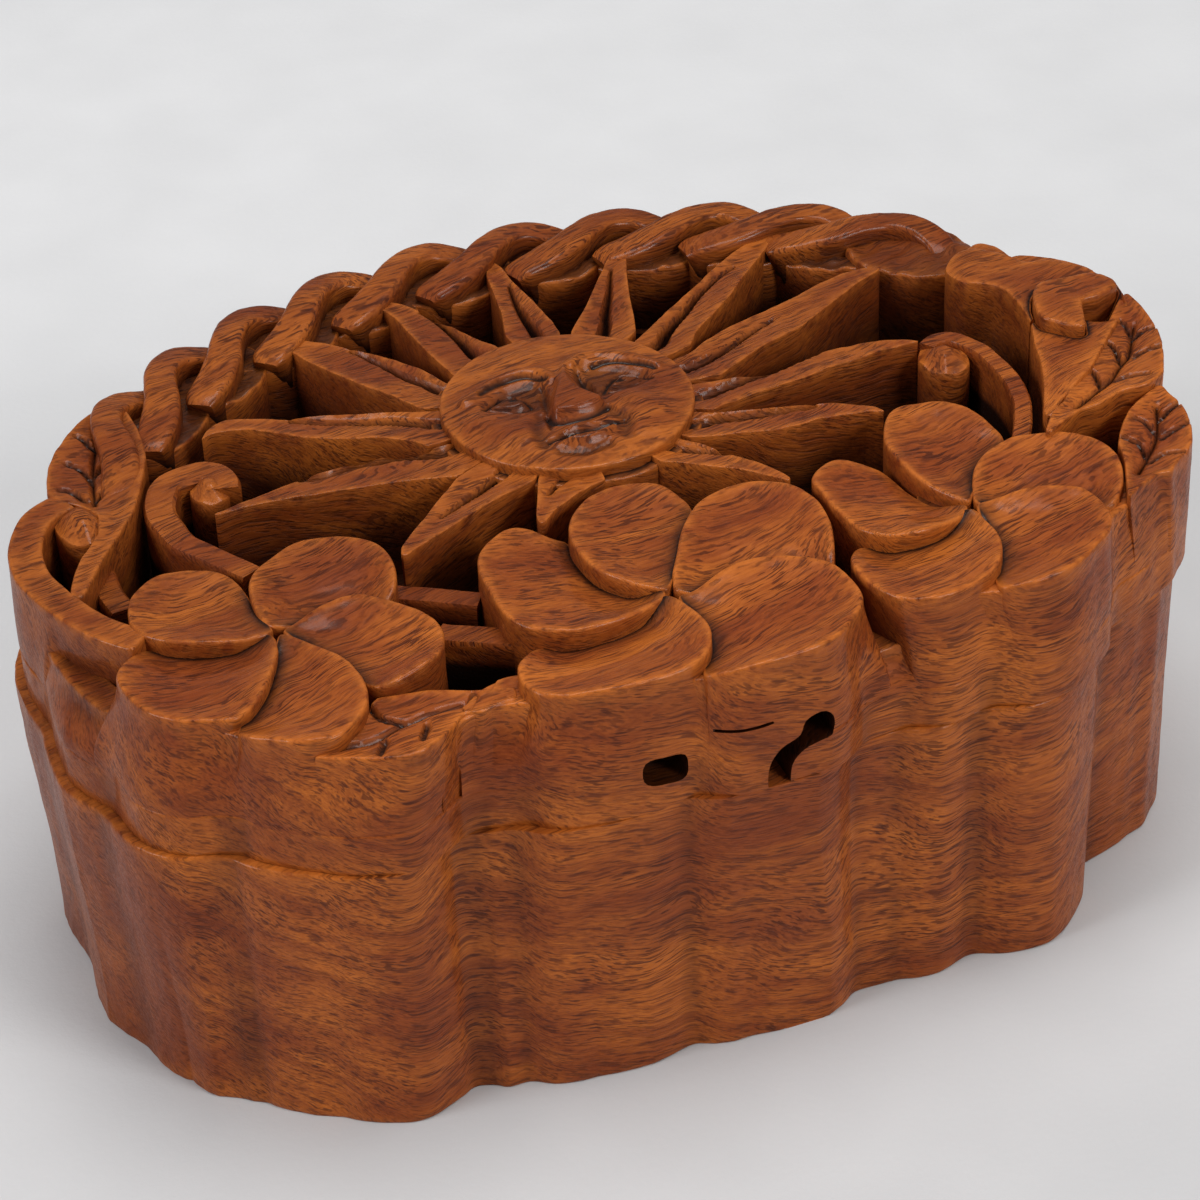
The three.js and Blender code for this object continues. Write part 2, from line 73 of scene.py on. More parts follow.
# Meshes are worked out in millimetres; plan positions are hundredths of half the box's length.
# Blocks of the carving start at inBoard or inHoop, just under the tops of the board and the hoop, and
# their sides run on into the outer wall where it is less than flow away
mm = 0.001
plan = {
    "unit": 0.8, "post": (-73, -44), "seam": 40.0, "lidHeight": 19.5,
    "boardTop": 43.0, "inBoard": 42.9, "hoopTop": 46.0, "inHoop": 45.6, "flow": 9.0,
}
tops = {
    "ropeBand": 0.82, "hub": 0.86, "ray": 0.9, "petal": 0.93, "leaf": 0.93, "curl": 0.88,
    "scroll": 0.93, "crownLeaf": 0.99, "fan": 0.87, "crest": 0.93,
    "key": 1.09, "frontLeaf": 0.84, "heart": 0.8, "bud": 0.96, "disc": 0.97,
}
hinge = next(joint for joint in frame["joints"] if joint["name"] == "lid_swing")["pos_m"]
shift = np.array([hinge[0], hinge[1]]) / mm - np.array(plan["post"]) * plan["unit"]


def topOf(part):
    return plan["seam"] + tops[part] * plan["lidHeight"]


def place(points):
    return np.asarray(points, float) * plan["unit"] + shift


# The photograph's camera, in millimetres from the middle of the plan; its picture is 1200 pixels wide
view = {
    "aim": (0.929, 8.529, 26.8), "from": (-126.841, -342.571, 292.2), "lens": 99.8, "sensor": 36,
    "roll": -2.54, "pixels": 1200,
}


def seen(points, height):
    # where points of the photograph, in its pixels, lie on a level plane at a height
    eye = np.array(view["from"]) + (*shift, 0)
    ahead = np.array(view["aim"]) - view["from"]
    ahead /= np.linalg.norm(ahead)
    right = np.cross(ahead, (0, 0, 1))
    right /= np.linalg.norm(right)
    up = np.cross(right, ahead)
    c, s = math.cos(math.radians(view["roll"])), math.sin(math.radians(view["roll"]))
    across, rise = right * c + up * s, up * c - right * s
    reach = view["lens"] / view["sensor"] * view["pixels"]
    spots = np.asarray(points, float) - view["pixels"] / 2
    rays = ahead * reach + spots[:, :1] * across - spots[:, 1:] * rise
    return (eye + rays * ((height - eye[2]) / rays[:, 2])[:, None])[:, :2]


def spline(points, steps, closed=False):
    points = np.asarray(points, float)
    count = len(points) if closed else len(points) - 1
    line = []
    for t in np.linspace(0, count, steps, endpoint=not closed):
        i = min(int(t), count - 1)
        f = t - i
        a, b, c, d = [
            points[(i + k) % len(points)] if closed else points[min(max(i + k, 0), len(points) - 1)]
            for k in (-1, 0, 1, 2)
        ]
        square, cube = 2 * a - 5 * b + 4 * c - d, 3 * b - a - 3 * c + d
        line.append(0.5 * (2 * b + (c - a) * f + square * f**2 + cube * f**3))
    return np.array(line)


def ellipse(x, y, long, wide, turn=0, steps=120):
    angle = np.linspace(0, 2 * math.pi, steps, endpoint=False)
    c, s = math.cos(math.radians(turn)), math.sin(math.radians(turn))
    u, v = long * np.cos(angle), wide * np.sin(angle)
    return place(np.stack([x + u * c - v * s, y + u * s + v * c], 1))


def oval(shape, inset=0.0, steps=360):
    angle = np.linspace(0, 2 * math.pi, steps, endpoint=False)
    c, s, p = np.cos(angle), np.sin(angle), 2 / shape["power"]
    long = shape["halfLong"] * plan["unit"] - inset
    wide = shape["halfWide"] * plan["unit"] - inset
    middle = place([shape["x"], shape["y"]])
    return middle + np.stack([long * np.sign(c) * np.abs(c) ** p, wide * np.sign(s) * np.abs(s) ** p], 1)


def circle(centre, radius, steps=48):
    angle = np.linspace(0, 2 * math.pi, steps, endpoint=False)
    return np.asarray(centre) + radius * np.stack([np.cos(angle), np.sin(angle)], 1)


def resample(loop, step, closed=True):
    line = np.vstack([loop, loop[:1]]) if closed else np.asarray(loop, float)
    along = np.r_[0, np.cumsum(np.linalg.norm(np.diff(line, axis=0), axis=1))]
    count = max(int(round(along[-1] / step)), 4)
    wanted = np.linspace(0, along[-1], count + (0 if closed else 1), endpoint=not closed)
    return np.stack([np.interp(wanted, along, line[:, k]) for k in range(line.shape[1])], 1)


def turnedLeft(loop):
    x, y = loop[:, 0], loop[:, 1]
    area = np.sum(x * np.roll(y, -1) - y * np.roll(x, -1))
    return loop if area > 0 else loop[::-1]


def softened(points, step=0.6, passes=2):
    # an even loop through points, with its corners rounded a little
    loop = turnedLeft(resample(np.asarray(points, float), step))
    for _ in range(passes):
        loop = (np.roll(loop, 1, 0) + 2 * loop + np.roll(loop, -1, 0)) / 4
    return loop


def outward(loop):
    along = np.roll(loop, -1, 0) - np.roll(loop, 1, 0)
    along /= np.maximum(np.linalg.norm(along, axis=1), 1e-9)[:, None]
    return np.stack([along[:, 1], -along[:, 0]], 1)


def inside(points, loop):
    x, y = points[:, 0][:, None], points[:, 1][:, None]
    ax, ay = loop[:, 0], loop[:, 1]
    bx, by = np.roll(ax, -1), np.roll(ay, -1)
    crosses = (ay > y) != (by > y)
    with np.errstate(divide="ignore", invalid="ignore"):
        at = (bx - ax) * (y - ay) / (by - ay) + ax
    return np.sum(crosses & (x < at), axis=1) % 2 == 1


def distance(points, line, closed=False):
    a = np.asarray(line, float)
    b = np.roll(a, -1, 0) if closed else a[1:]
    a = a if closed else a[:-1]
    d = b - a
    square = np.maximum(np.sum(d * d, 1), 1e-12)
    best = np.full(len(points), 1e9)
    for first in range(0, len(points), 4000):
        p = points[first:first + 4000, None, :]
        t = np.clip(np.sum((p - a) * d, 2) / square, 0, 1)
        best[first:first + 4000] = np.sqrt(np.min(np.sum((p - a - t[..., None] * d) ** 2, 2), 1))
    return best


def smoothStep(low, high, value):
    t = np.clip((value - low) / (high - low), 0, 1)
    return t * t * (3 - 2 * t)


def wobble(x, y, size, seed):
    chance = np.random.default_rng(seed)
    total = 0
    for _ in range(7):
        angle, phase = chance.uniform(0, 2 * math.pi, 2)
        wave = size * chance.uniform(0.6, 1.8)
        total = total + np.sin((x * math.cos(angle) + y * math.sin(angle)) * 2 * math.pi / wave + phase)
    return total / 7**0.5 / 1.4


def wallWobble(xy, z):
    x, y = xy[:, 0], xy[:, 1]
    broad = wobble(x + 0.3 * z, y - 0.2 * z, 17, 5)
    fine = wobble(x - y + 0.2 * z, x + y + 0.9 * z, 5, 9)
    return 0.14 * broad + 0.05 * fine


class Carving:
    # gathers points, faces and two marks per point: how near a rim, and how much stain and painted shade a
    # cut or hollow gets

    def __init__(self):
        self.points, self.faces, self.rim, self.cut = [], [], [], []

    def add(self, points, rim=0.0, cut=0.0):
        first = len(self.points)
        self.points.extend(map(tuple, points))
        self.rim.extend(np.broadcast_to(rim, len(points)).tolist())
        self.cut.extend(np.broadcast_to(cut, len(points)).tolist())
        return list(range(first, first + len(points)))

    def strip(self, upper, lower, closed=True):
        count = len(upper)
        for k in range(count if closed else count - 1):
            n = (k + 1) % count
            self.faces.append((upper[k], lower[k], lower[n], upper[n]))

    def fill(self, loops, z, down=False):
        # flat face between an outer loop and the holes in it, given as lists of point numbers
        flat = [Vector(self.points[i][:2]) for loop in loops for i in loop]
        numbers = [i for loop in loops for i in loop]
        edges, first = [], 0
        for loop in loops:
            edges += [(first + k, first + (k + 1) % len(loop)) for k in range(len(loop))]
            first += len(loop)
        spots, _, triangles, came, _, _ = geometry.delaunay_2d_cdt(flat, edges, [], 0, 1e-5)
        shapes = [np.array([self.points[i][:2] for i in loop]) for loop in loops]
        middles = np.array([sum((spots[i] for i in t), Vector((0, 0))) / 3 for t in triangles])
        keep = inside(middles, shapes[0])
        for hole in shapes[1:]:
            keep &= ~inside(middles, hole)
        known = [numbers[c[0]] if c else None for c in came]
        for k, spot in enumerate(spots):
            if known[k] is None:
                known[k] = self.add([(spot[0], spot[1], z)])[0]
        for triangle, kept in zip(triangles, keep):
            if kept:
                face = tuple(known[i] for i in triangle)
                self.faces.append(face[::-1] if down else face)

    def block(self, outline, height, bottom, cuts=(), creases=(),
              grid=0.8, edge=0.3, rows=6, rough=1.0, flow=0.0):
        # a height field over an outline, with a rounded rim and walls down to the bottom
        outline = resample(turnedLeft(outline), grid * 0.75)
        normal = outward(outline)
        topLoop = outline - edge * normal
        lines = [(topLoop, True)] + [(resample(c, grid * 0.75), True) for c in cuts]
        lines += [(resample(c, grid * 0.75, False), False) for c in creases]
        low, high = outline.min(0), outline.max(0)
        across, up = np.meshgrid(
            np.arange(low[0], high[0], grid), np.arange(low[1], high[1], grid * 0.87))
        across[1::2] += grid / 2
        inner = np.stack([across.ravel(), up.ravel()], 1)
        inner = inner[inside(inner, topLoop)]
        for line, closed in lines:
            inner = inner[distance(inner, line, closed) > grid * 0.42]
        flat, edges = [Vector(p) for p in inner], []
        for line, closed in lines:
            first, count = len(flat), len(line)
            flat += [Vector(p) for p in line]
            edges += [(first + k, first + (k + 1) % count) for k in range(count if closed else count - 1)]
        spots, _, triangles, _, _, _ = geometry.delaunay_2d_cdt(flat, edges, [], 0, 1e-5)
        xy = np.array(spots)
        triangles = np.array(triangles)
        middles = xy[triangles].mean(1)
        keep = inside(middles, topLoop)
        for cut in cuts:
            keep &= ~inside(middles, cut)
        triangles = triangles[keep]
        used = np.unique(triangles)
        xy = xy[used]
        renumber = np.zeros(len(spots), int)
        renumber[used] = np.arange(len(used))
        triangles = renumber[triangles]
        z, depth = height(xy[:, 0], xy[:, 1])
        near = distance(xy, topLoop, True)
        # paler along the outline: wear, partly a painted highlight
        top = self.add(np.column_stack([xy, z]), np.exp(-near / 0.7), depth)
        self.faces.extend(tuple(top[i] for i in t) for t in triangles)
        # the open sides of the triangles are the rim, in order round each loop
        sides = {}
        for t in triangles:
            for k in range(3):
                sides[(t[k], t[(k + 1) % 3])] = True
        ahead = {a: b for a, b in sides if (b, a) not in sides}
        while ahead:
            start, nextOne = ahead.popitem()
            loop = [start]
            while nextOne != start and nextOne in ahead:
                loop.append(nextOne)
                nextOne = ahead.pop(nextOne)
            if nextOne == start and len(loop) > 2:
                self.wall(xy[loop], z[loop], [top[i] for i in loop], bottom, edge, rows, rough, flow)

    def wall(self, loop, z, upper, bottom, edge, rows, rough, flow):
        normal = outward(loop)
        foot = np.full(len(loop), bottom) if np.isscalar(bottom) else bottom
        # the rounded edge is paler: wear, partly a painted highlight
        for out, down in ((0.62, 0.25), (1.0, 1.0)):
            lower = self.add(np.column_stack([loop + out * edge * normal, z - down * edge]), 1.0 - 0.3 * down)
            self.strip(upper, lower)
            upper = lower
        for row in range(1, rows + 1):
            share = row / rows
            level = (z - edge) * (1 - share) + foot * share
            push = edge + rough * smoothStep(0, 0.3, share) * wallWobble(loop, level)
            # paler near the top of the wall: wear, partly a painted highlight
            rim = 0.75 * np.exp(-(z - edge - level) / 1.3)
            spot = loop + push[:, None] * normal
            if flow:
                gap, away = wallGap(spot)
                facing = smoothStep(0.1, 0.5, np.sum(away * normal, 1)) * smoothStep(flow, 0.55 * flow, gap)
                spot = spot + (gap * facing * smoothStep(0.0, 0.9, share))[:, None] * away
            lower = self.add(np.column_stack([spot, level]), rim)
            self.strip(upper, lower)
            upper = lower
        self.faces.append(tuple(upper[::-1]))

    def piece(self, name, body, material, sharp=42):
        mesh = bpy.data.meshes.new(name)
        low, high = np.array(cadBox) / mm + ((0.02,) * 3, (-0.02,) * 3)
        low[2] = 0
        points = np.clip(np.array(self.points), low, high)
        mesh.from_pydata((points * mm).tolist(), [], self.faces)
        form = bmesh.new()
        form.from_mesh(mesh)
        bmesh.ops.holes_fill(form, edges=[edge for edge in form.edges if edge.is_boundary], sides=12)
        form.to_mesh(mesh)
        form.free()
        mesh.materials.append(material)
        thing = finished(name, mesh, {"rim": self.rim, "cut": self.cut, "deep": depthStainAndShade(points)}, sharp)
        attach(thing, body)
        return thing


def linked(name, data):
    thing = bpy.data.objects.new(name, data)
    bpy.context.scene.collection.objects.link(thing)
    return thing


def evaluated(thing):
    # the mesh of a thing with its modifiers worked in
    bpy.context.view_layer.update()
    graph = bpy.context.evaluated_depsgraph_get()
    return bpy.data.meshes.new_from_object(thing.evaluated_get(graph), depsgraph=graph)


def depthStainAndShade(points):
    # stain and painted shade in the depths of the carving, away from the outer wall
    gap, _ = wallGap(points[:, :2])
    return (smoothStep(1.0, 4.0, gap) * smoothStep(56.0, 47.0, points[:, 2])).tolist()


def marked(mesh, marks):
    for mark, values in marks.items():
        mesh.attributes.new(mark, "FLOAT", "POINT").data.foreach_set("value", values)


def finished(name, mesh, marks, sharp):
    marked(mesh, marks)
    mesh.polygons.foreach_set("use_smooth", [True] * len(mesh.polygons))
    mesh.set_sharp_from_angle(angle=math.radians(sharp))
    return linked(name, mesh)


class Wire:
    # a socket that takes part in sums

    def __init__(self, tree, socket):
        self.tree, self.socket = tree, socket

    def outputs(self):
        return [Wire(self.tree, socket) for socket in self.socket.node.outputs]

    def math(self, other, operation, turned=False):
        pair = (other, self) if turned else (self, other)
        return self.tree.calc(operation, *pair)

    def __add__(self, other):
        return self.math(other, "ADD")

    def __radd__(self, other):
        return self.math(other, "ADD", True)

    def __sub__(self, other):
        return self.math(other, "SUBTRACT")

    def __rsub__(self, other):
        return self.math(other, "SUBTRACT", True)

    def __mul__(self, other):
        return self.math(other, "MULTIPLY")

    def __rmul__(self, other):
        return self.math(other, "MULTIPLY", True)

    def __truediv__(self, other):
        return self.math(other, "DIVIDE")

    def __rtruediv__(self, other):
        return self.math(other, "DIVIDE", True)

    def __pow__(self, other):
        return self.math(other, "POWER")


class Tree:
    # makes the nodes of a material, a world or a Geometry Nodes group

    def __init__(self, nodeTree):
        self.nodes, self.links = nodeTree.nodes, nodeTree.links
        self.nodes.clear()

    def make(self, kind, settings=None, inputs=None, output=0):
        node = self.nodes.new(kind)
        for key, value in (settings or {}).items():
            setattr(node, key, value)
        for key, value in (inputs or {}).items():
            if isinstance(value, Wire):
                self.links.new(value.socket, node.inputs[key])
            elif isinstance(value, (tuple, list)) and len(value) == 3 and node.inputs[key].type == "RGBA":
                node.inputs[key].default_value = (*value, 1)
            else:
                node.inputs[key].default_value = value
        return Wire(self, node.outputs[output]) if len(node.outputs) else None

    def calc(self, operation, *values):
        return self.make("ShaderNodeMath", {"operation": operation}, dict(enumerate(values)))

    def scaled(self, vector, factor):
        return self.make("ShaderNodeVectorMath", {"operation": "SCALE"}, {0: vector, "Scale": factor})

    def parts(self, vector):
        return self.make("ShaderNodeSeparateXYZ", {}, {0: vector}).outputs()

    def point(self, x, y, z):
        return self.make("ShaderNodeCombineXYZ", {}, {0: x, 1: y, 2: z})

    def mix(self, factor, first, second, blend="MIX"):
        return self.make("ShaderNodeMix", {"data_type": "RGBA", "blend_type": blend},
                         {0: factor, 6: first, 7: second}, 2)

    def noise(self, vector, scale, detail=2.0, rough=0.5):
        return self.make("ShaderNodeTexNoise", {}, {
            "Vector": vector, "Scale": scale, "Detail": detail, "Roughness": rough})

    def span(self, value, low, high, first=0.0, last=1.0, smooth=False):
        return self.make("ShaderNodeMapRange", {"interpolation_type": "SMOOTHSTEP" if smooth else "LINEAR"}, {
            "Value": value, "From Min": low, "From Max": high, "To Min": first, "To Max": last})

    def mark(self, name):
        return self.make("ShaderNodeAttribute", {"attribute_type": "GEOMETRY", "attribute_name": name}, {}, 2)


class Finish(Tree):
    def __init__(self, name):
        self.material = bpy.data.materials.new(name)
        self.material.use_nodes = True
        super().__init__(self.material.node_tree)
        self.spot = self.make("ShaderNodeTexCoord", {}, {}, "Object")

    def done(self, inputs):
        shader = self.make("ShaderNodeBsdfPrincipled", {}, inputs)
        self.make("ShaderNodeOutputMaterial", {}, {"Surface": shader})
        return self.material


def linear(red, green, blue):
    shares = (red / 255, green / 255, blue / 255)
    return tuple(((c + 0.055) / 1.055) ** 2.4 if c > 0.04 else c / 12.92 for c in shares)


wood = {
    "pale": linear(208, 118, 42), "body": linear(174, 88, 31), "red": linear(124, 52, 21),
    "streak": linear(70, 27, 11), "stainAndShade": linear(26, 8, 3), "rimWearAndHighlight": linear(204, 113, 42),
    "dark": linear(84, 34, 14),
    "grainTurn": 11, "ringTilt": 38, "ringWidth": 2.3, "poreLong": 3.2, "poreWide": 0.2,
    "coat": 0.28, "coatRough": 0.18, "rough": 0.52, "shine": 0.12,
}


def woodFinish(name, tone=1.0, hollowStainAndShade=0.92):
    f = Finish(name)
    inMm = f.make("ShaderNodeMapping", {}, {
        "Vector": f.spot, "Rotation": (0, 0, math.radians(-wood["grainTurn"])), "Scale": (1000, 1000, 1000)})
    along, across, up = f.parts(inMm)

    # slow waves bend the growth rings and the pores that follow them
    sway = f.noise(f.point(along / 46, across / 17, up / 22), 1.0, 2.0, 0.5) - 0.5
    swayFine = f.noise(f.point(along / 14, across / 5, up / 6), 1.0, 2.0, 0.5) - 0.5
    tilt = math.radians(wood["ringTilt"])
    ring = up * math.cos(tilt) - across * math.sin(tilt) + sway * 11 + swayFine * 0.9
    depth = up * math.sin(tilt) + across * math.cos(tilt)
    band = f.noise(f.point(along / 60, ring / wood["ringWidth"], 0.0), 1.0, 3.0, 0.65)
    bandMask = f.span(band, 0.42, 0.64, smooth=True)

    # pores: short dark dashes that lie in the rings
    pore = f.noise(f.point(along / wood["poreLong"], ring / wood["poreWide"], depth / 0.8), 1.0, 1.0, 0.4)
    poreMask = f.span(pore, 0.535, 0.63, smooth=True)
    longPore = f.noise(f.point(along / 9 + 31, ring / 0.5, depth / 1.6), 1.0, 2.0, 0.55)
    longMask = f.span(longPore, 0.55, 0.68, smooth=True)
    faceX, _, faceZ = f.parts(f.make("ShaderNodeNewGeometry", {}, {}, "Normal"))
    upright = 1.0 - f.calc("ABSOLUTE", faceZ)
    crowd = f.span(f.noise(f.point(along / 26, across / 5, up / 5), 1.0, 2.0), 0.36, 0.6, 0.4, 1.0)
    poreMask = poreMask * crowd
    hair = f.noise(f.point(along / 8, ring / 0.2, depth / 0.5), 1.0, 2.0, 0.6)

    cloud = f.noise(f.point(along / 30, across / 12, up / 12), 1.0, 3.0, 0.6)
    colour = f.mix(f.span(cloud, 0.34, 0.66, smooth=True), wood["red"], wood["pale"])
    colour = f.mix(0.45, colour, wood["body"])
    colour = f.mix(bandMask * 0.5, colour, wood["red"])
    colour = f.mix(f.span(hair, 0.35, 0.75, 0.0, 0.5), colour, wood["red"], "MULTIPLY")
    colour = f.mix(longMask * 0.72, colour, wood["dark"])
    colour = f.mix(poreMask * f.span(upright, 0.2, 0.8, 0.8, 0.7), colour, wood["streak"])

    # end grain is duller and redder, with the pores as dots
    endGrain = f.calc("ABSOLUTE", faceX) ** 3.0
    colour = f.mix(endGrain * 0.4, colour, wood["red"])

    # rims are rubbed paler, partly a painted highlight; cuts and depths get stain and painted shade
    patch = f.noise(inMm, 0.3, 3.0, 0.6)
    wearAndHighlight = f.span(f.noise(inMm, 0.5, 3.0, 0.6), 0.35, 0.6)
    colour = f.mix(f.mark("rim") * wearAndHighlight * 0.7, colour, wood["rimWearAndHighlight"])
    deep = f.mark("deep") * hollowStainAndShade
    colour = f.mix(deep * f.span(patch, 0.3, 0.7, 0.75, 1.0), colour, wood["stainAndShade"])
    cut = f.mark("cut")
    colour = f.mix(f.span(cut, 0.0, 0.8, 0.0, 0.96), colour, wood["stainAndShade"])
    # painted shade: the colour darkens towards the back, where less light falls
    paintedBackShade = f.span(across, -36.0, 4.0, 1.0, 0.8)
    colour = f.scaled(colour, paintedBackShade)
    if tone != 1.0:
        colour = f.mix(1.0, colour, (tone, tone * 0.92, tone * 0.86), "MULTIPLY")

    grit = f.noise(inMm, 2.4, 3.0, 0.65)
    rough = f.span(grit, 0.3, 0.75, wood["rough"] - 0.1, wood["rough"] + 0.14) + poreMask * 0.15
    lumps = f.noise(inMm, 0.5, 2.0, 0.5)
    height = lumps * 0.6 + grit * 0.16 - poreMask * 0.22 - longMask * 0.15
    height = height - f.span(hair, 0.3, 0.8) * 0.08
    bump = f.make("ShaderNodeBump", {}, {"Strength": 0.8, "Distance": 0.0004, "Height": height})
    return f.done({
        "Base Color": colour, "Roughness": rough, "Normal": bump, "IOR": 1.45,
        "Specular IOR Level": wood["shine"],
        "Coat Weight": wood["coat"], "Coat Roughness": wood["coatRough"], "Coat IOR": 1.45})


topWood = woodFinish("varnished_wood")
baseWood = woodFinish("varnished_wall", hollowStainAndShade=0.0)
# the board, the hidden parts and the sides of the wall cuts get the wood darkened to about an eighth
boardWood = woodFinish("dark_board", tone=0.13)

# Outlines read from the photograph, in its pixels. Each petal runs on under the one that laps over it
petalSeen = [
    [
        [
            (265, 633), (240, 640), (215, 644), (190, 645), (165, 643), (145, 638), (130, 628),
            (127, 612), (130, 598), (140, 588), (150, 579), (165, 574), (185, 571), (210, 570),
            (228, 573), (240, 580), (249, 592), (258, 608), (268, 620), (275, 628),
        ],
        [
            (275, 632), (278, 642), (277, 655), (273, 670), (268, 685), (260, 700), (250, 712),
            (235, 722), (215, 723), (200, 723), (185, 724), (165, 720), (150, 716), (140, 710),
            (130, 702), (120, 690), (115, 678), (118, 668), (127, 655), (140, 640), (165, 636),
            (190, 638), (215, 637), (240, 633), (262, 628),
        ],
        [
            (278, 630), (290, 631), (305, 637), (320, 645), (335, 652), (350, 662), (362, 676),
            (368, 690), (369, 702), (363, 715), (352, 727), (340, 737), (325, 741), (308, 744),
            (295, 744), (280, 741), (262, 738), (248, 735), (235, 728), (240, 712), (255, 700),
            (266, 680), (272, 660), (273, 645),
        ],
        [
            (280, 628), (300, 617), (320, 605), (340, 598), (360, 594), (380, 598), (400, 603),
            (420, 611), (437, 621), (444, 631), (445, 645), (440, 655), (428, 664), (415, 671),
            (398, 680), (385, 684), (372, 683), (355, 672), (335, 658), (312, 645), (295, 636),
        ],
        [
            (272, 625), (262, 620), (255, 610), (250, 598), (248, 588), (250, 578), (256, 570),
            (265, 563), (275, 556), (285, 548), (300, 541), (320, 538), (340, 537), (358, 539),
            (375, 543), (385, 549), (392, 558), (396, 568), (397, 578), (394, 588), (385, 597),
            (370, 603), (345, 606), (325, 610), (305, 617), (288, 624),
        ],
    ],
    [
        [
            (668, 588), (650, 586), (635, 584), (620, 580), (605, 575), (592, 568), (582, 559),
            (575, 550), (570, 540), (568, 530), (570, 520), (576, 510), (585, 500), (595, 494),
            (610, 488), (630, 484), (655, 483), (670, 488), (680, 494), (690, 500), (694, 508),
            (690, 520), (684, 532), (681, 545), (678, 560), (674, 575),
        ],
        [
            (668, 590), (655, 601), (640, 611), (620, 620), (600, 627), (580, 632), (560, 633),
            (545, 632), (530, 630), (515, 624), (505, 617), (497, 606), (487, 590), (480, 578),
            (477, 565), (478, 555), (485, 545), (495, 537), (505, 530), (520, 526), (535, 527),
            (550, 530), (566, 527), (578, 540), (590, 555), (605, 566), (620, 573), (640, 579),
            (658, 583),
        ],
        [
            (672, 592), (680, 595), (690, 602), (700, 612), (708, 622), (712, 632), (712, 645),
            (708, 655), (700, 663), (688, 670), (675, 675), (660, 680), (645, 684), (630, 688),
            (610, 692), (590, 695), (570, 698), (550, 698), (538, 696), (528, 690), (520, 682),
            (517, 672), (518, 662), (523, 655), (532, 640), (548, 625), (580, 624), (605, 618),
            (630, 608), (650, 596), (664, 590),
        ],
        [
            (676, 591), (690, 589), (705, 580), (720, 571), (735, 564), (750, 559), (770, 556),
            (790, 556), (810, 558), (825, 561), (835, 565), (845, 572), (855, 582), (862, 592),
            (864, 600), (860, 612), (852, 622), (845, 632), (835, 640), (820, 648), (805, 653),
            (790, 657), (775, 662), (760, 666), (745, 668), (730, 670), (715, 671), (703, 670),
            (703, 655), (704, 640), (700, 625), (692, 612), (682, 600),
        ],
        [
            (673, 587), (672, 570), (677, 552), (680, 535), (684, 524), (690, 513), (698, 503),
            (710, 495), (725, 488), (745, 483), (765, 481), (785, 483), (800, 488), (812, 496),
            (820, 503), (826, 512), (831, 522), (834, 535), (835, 548), (834, 562), (822, 570),
            (800, 568), (775, 567), (752, 570), (735, 575), (715, 583), (695, 590),
        ],
    ],
    [
        [
            (970, 500), (960, 497), (945, 492), (930, 486), (918, 479), (908, 472), (900, 464),
            (893, 456), (886, 447), (883, 438), (884, 425), (888, 414), (898, 407), (915, 405),
            (935, 402), (950, 403), (965, 407), (980, 415), (992, 424), (1003, 431), (1006, 438),
            (998, 448), (988, 457), (980, 468), (977, 482),
        ],
        [
            (970, 502), (962, 512), (950, 520), (935, 528), (920, 533), (905, 536), (890, 538),
            (875, 536), (860, 531), (850, 524), (840, 515), (832, 508), (825, 500), (820, 492),
            (812, 486), (811, 479), (815, 473), (825, 464), (835, 459), (850, 457), (865, 458),
            (880, 458), (892, 464), (904, 474), (916, 483), (930, 491), (945, 497), (960, 500),
        ],
        [
            (972, 504), (980, 508), (988, 517), (996, 527), (1002, 540), (1003, 552), (1000, 565),
            (992, 575), (980, 582), (965, 590), (950, 596), (935, 600), (915, 602), (900, 600),
            (885, 594), (870, 586), (860, 577), (853, 567), (850, 556), (855, 542), (865, 533),
            (885, 530), (905, 528), (925, 523), (945, 514), (960, 505),
        ],
        [
            (976, 501), (985, 498), (1000, 495), (1020, 489), (1045, 486), (1065, 486), (1082, 488),
            (1095, 495), (1105, 505), (1112, 515), (1113, 527), (1108, 536), (1098, 545),
            (1090, 555), (1078, 565), (1065, 572), (1050, 577), (1035, 581), (1015, 584),
            (1000, 583), (994, 570), (996, 550), (994, 535), (986, 520), (978, 510),
        ],
        [
            (973, 498), (972, 484), (973, 470), (978, 460), (987, 451), (998, 444), (1010, 438),
            (1025, 435), (1045, 433), (1065, 432), (1080, 434), (1095, 439), (1108, 446),
            (1118, 455), (1123, 467), (1124, 480), (1120, 492), (1112, 500), (1095, 500),
            (1070, 494), (1045, 494), (1020, 498), (1000, 503), (985, 504),
        ],
    ],
]
hearts = [(276, 628), (671, 590), (973, 501)]
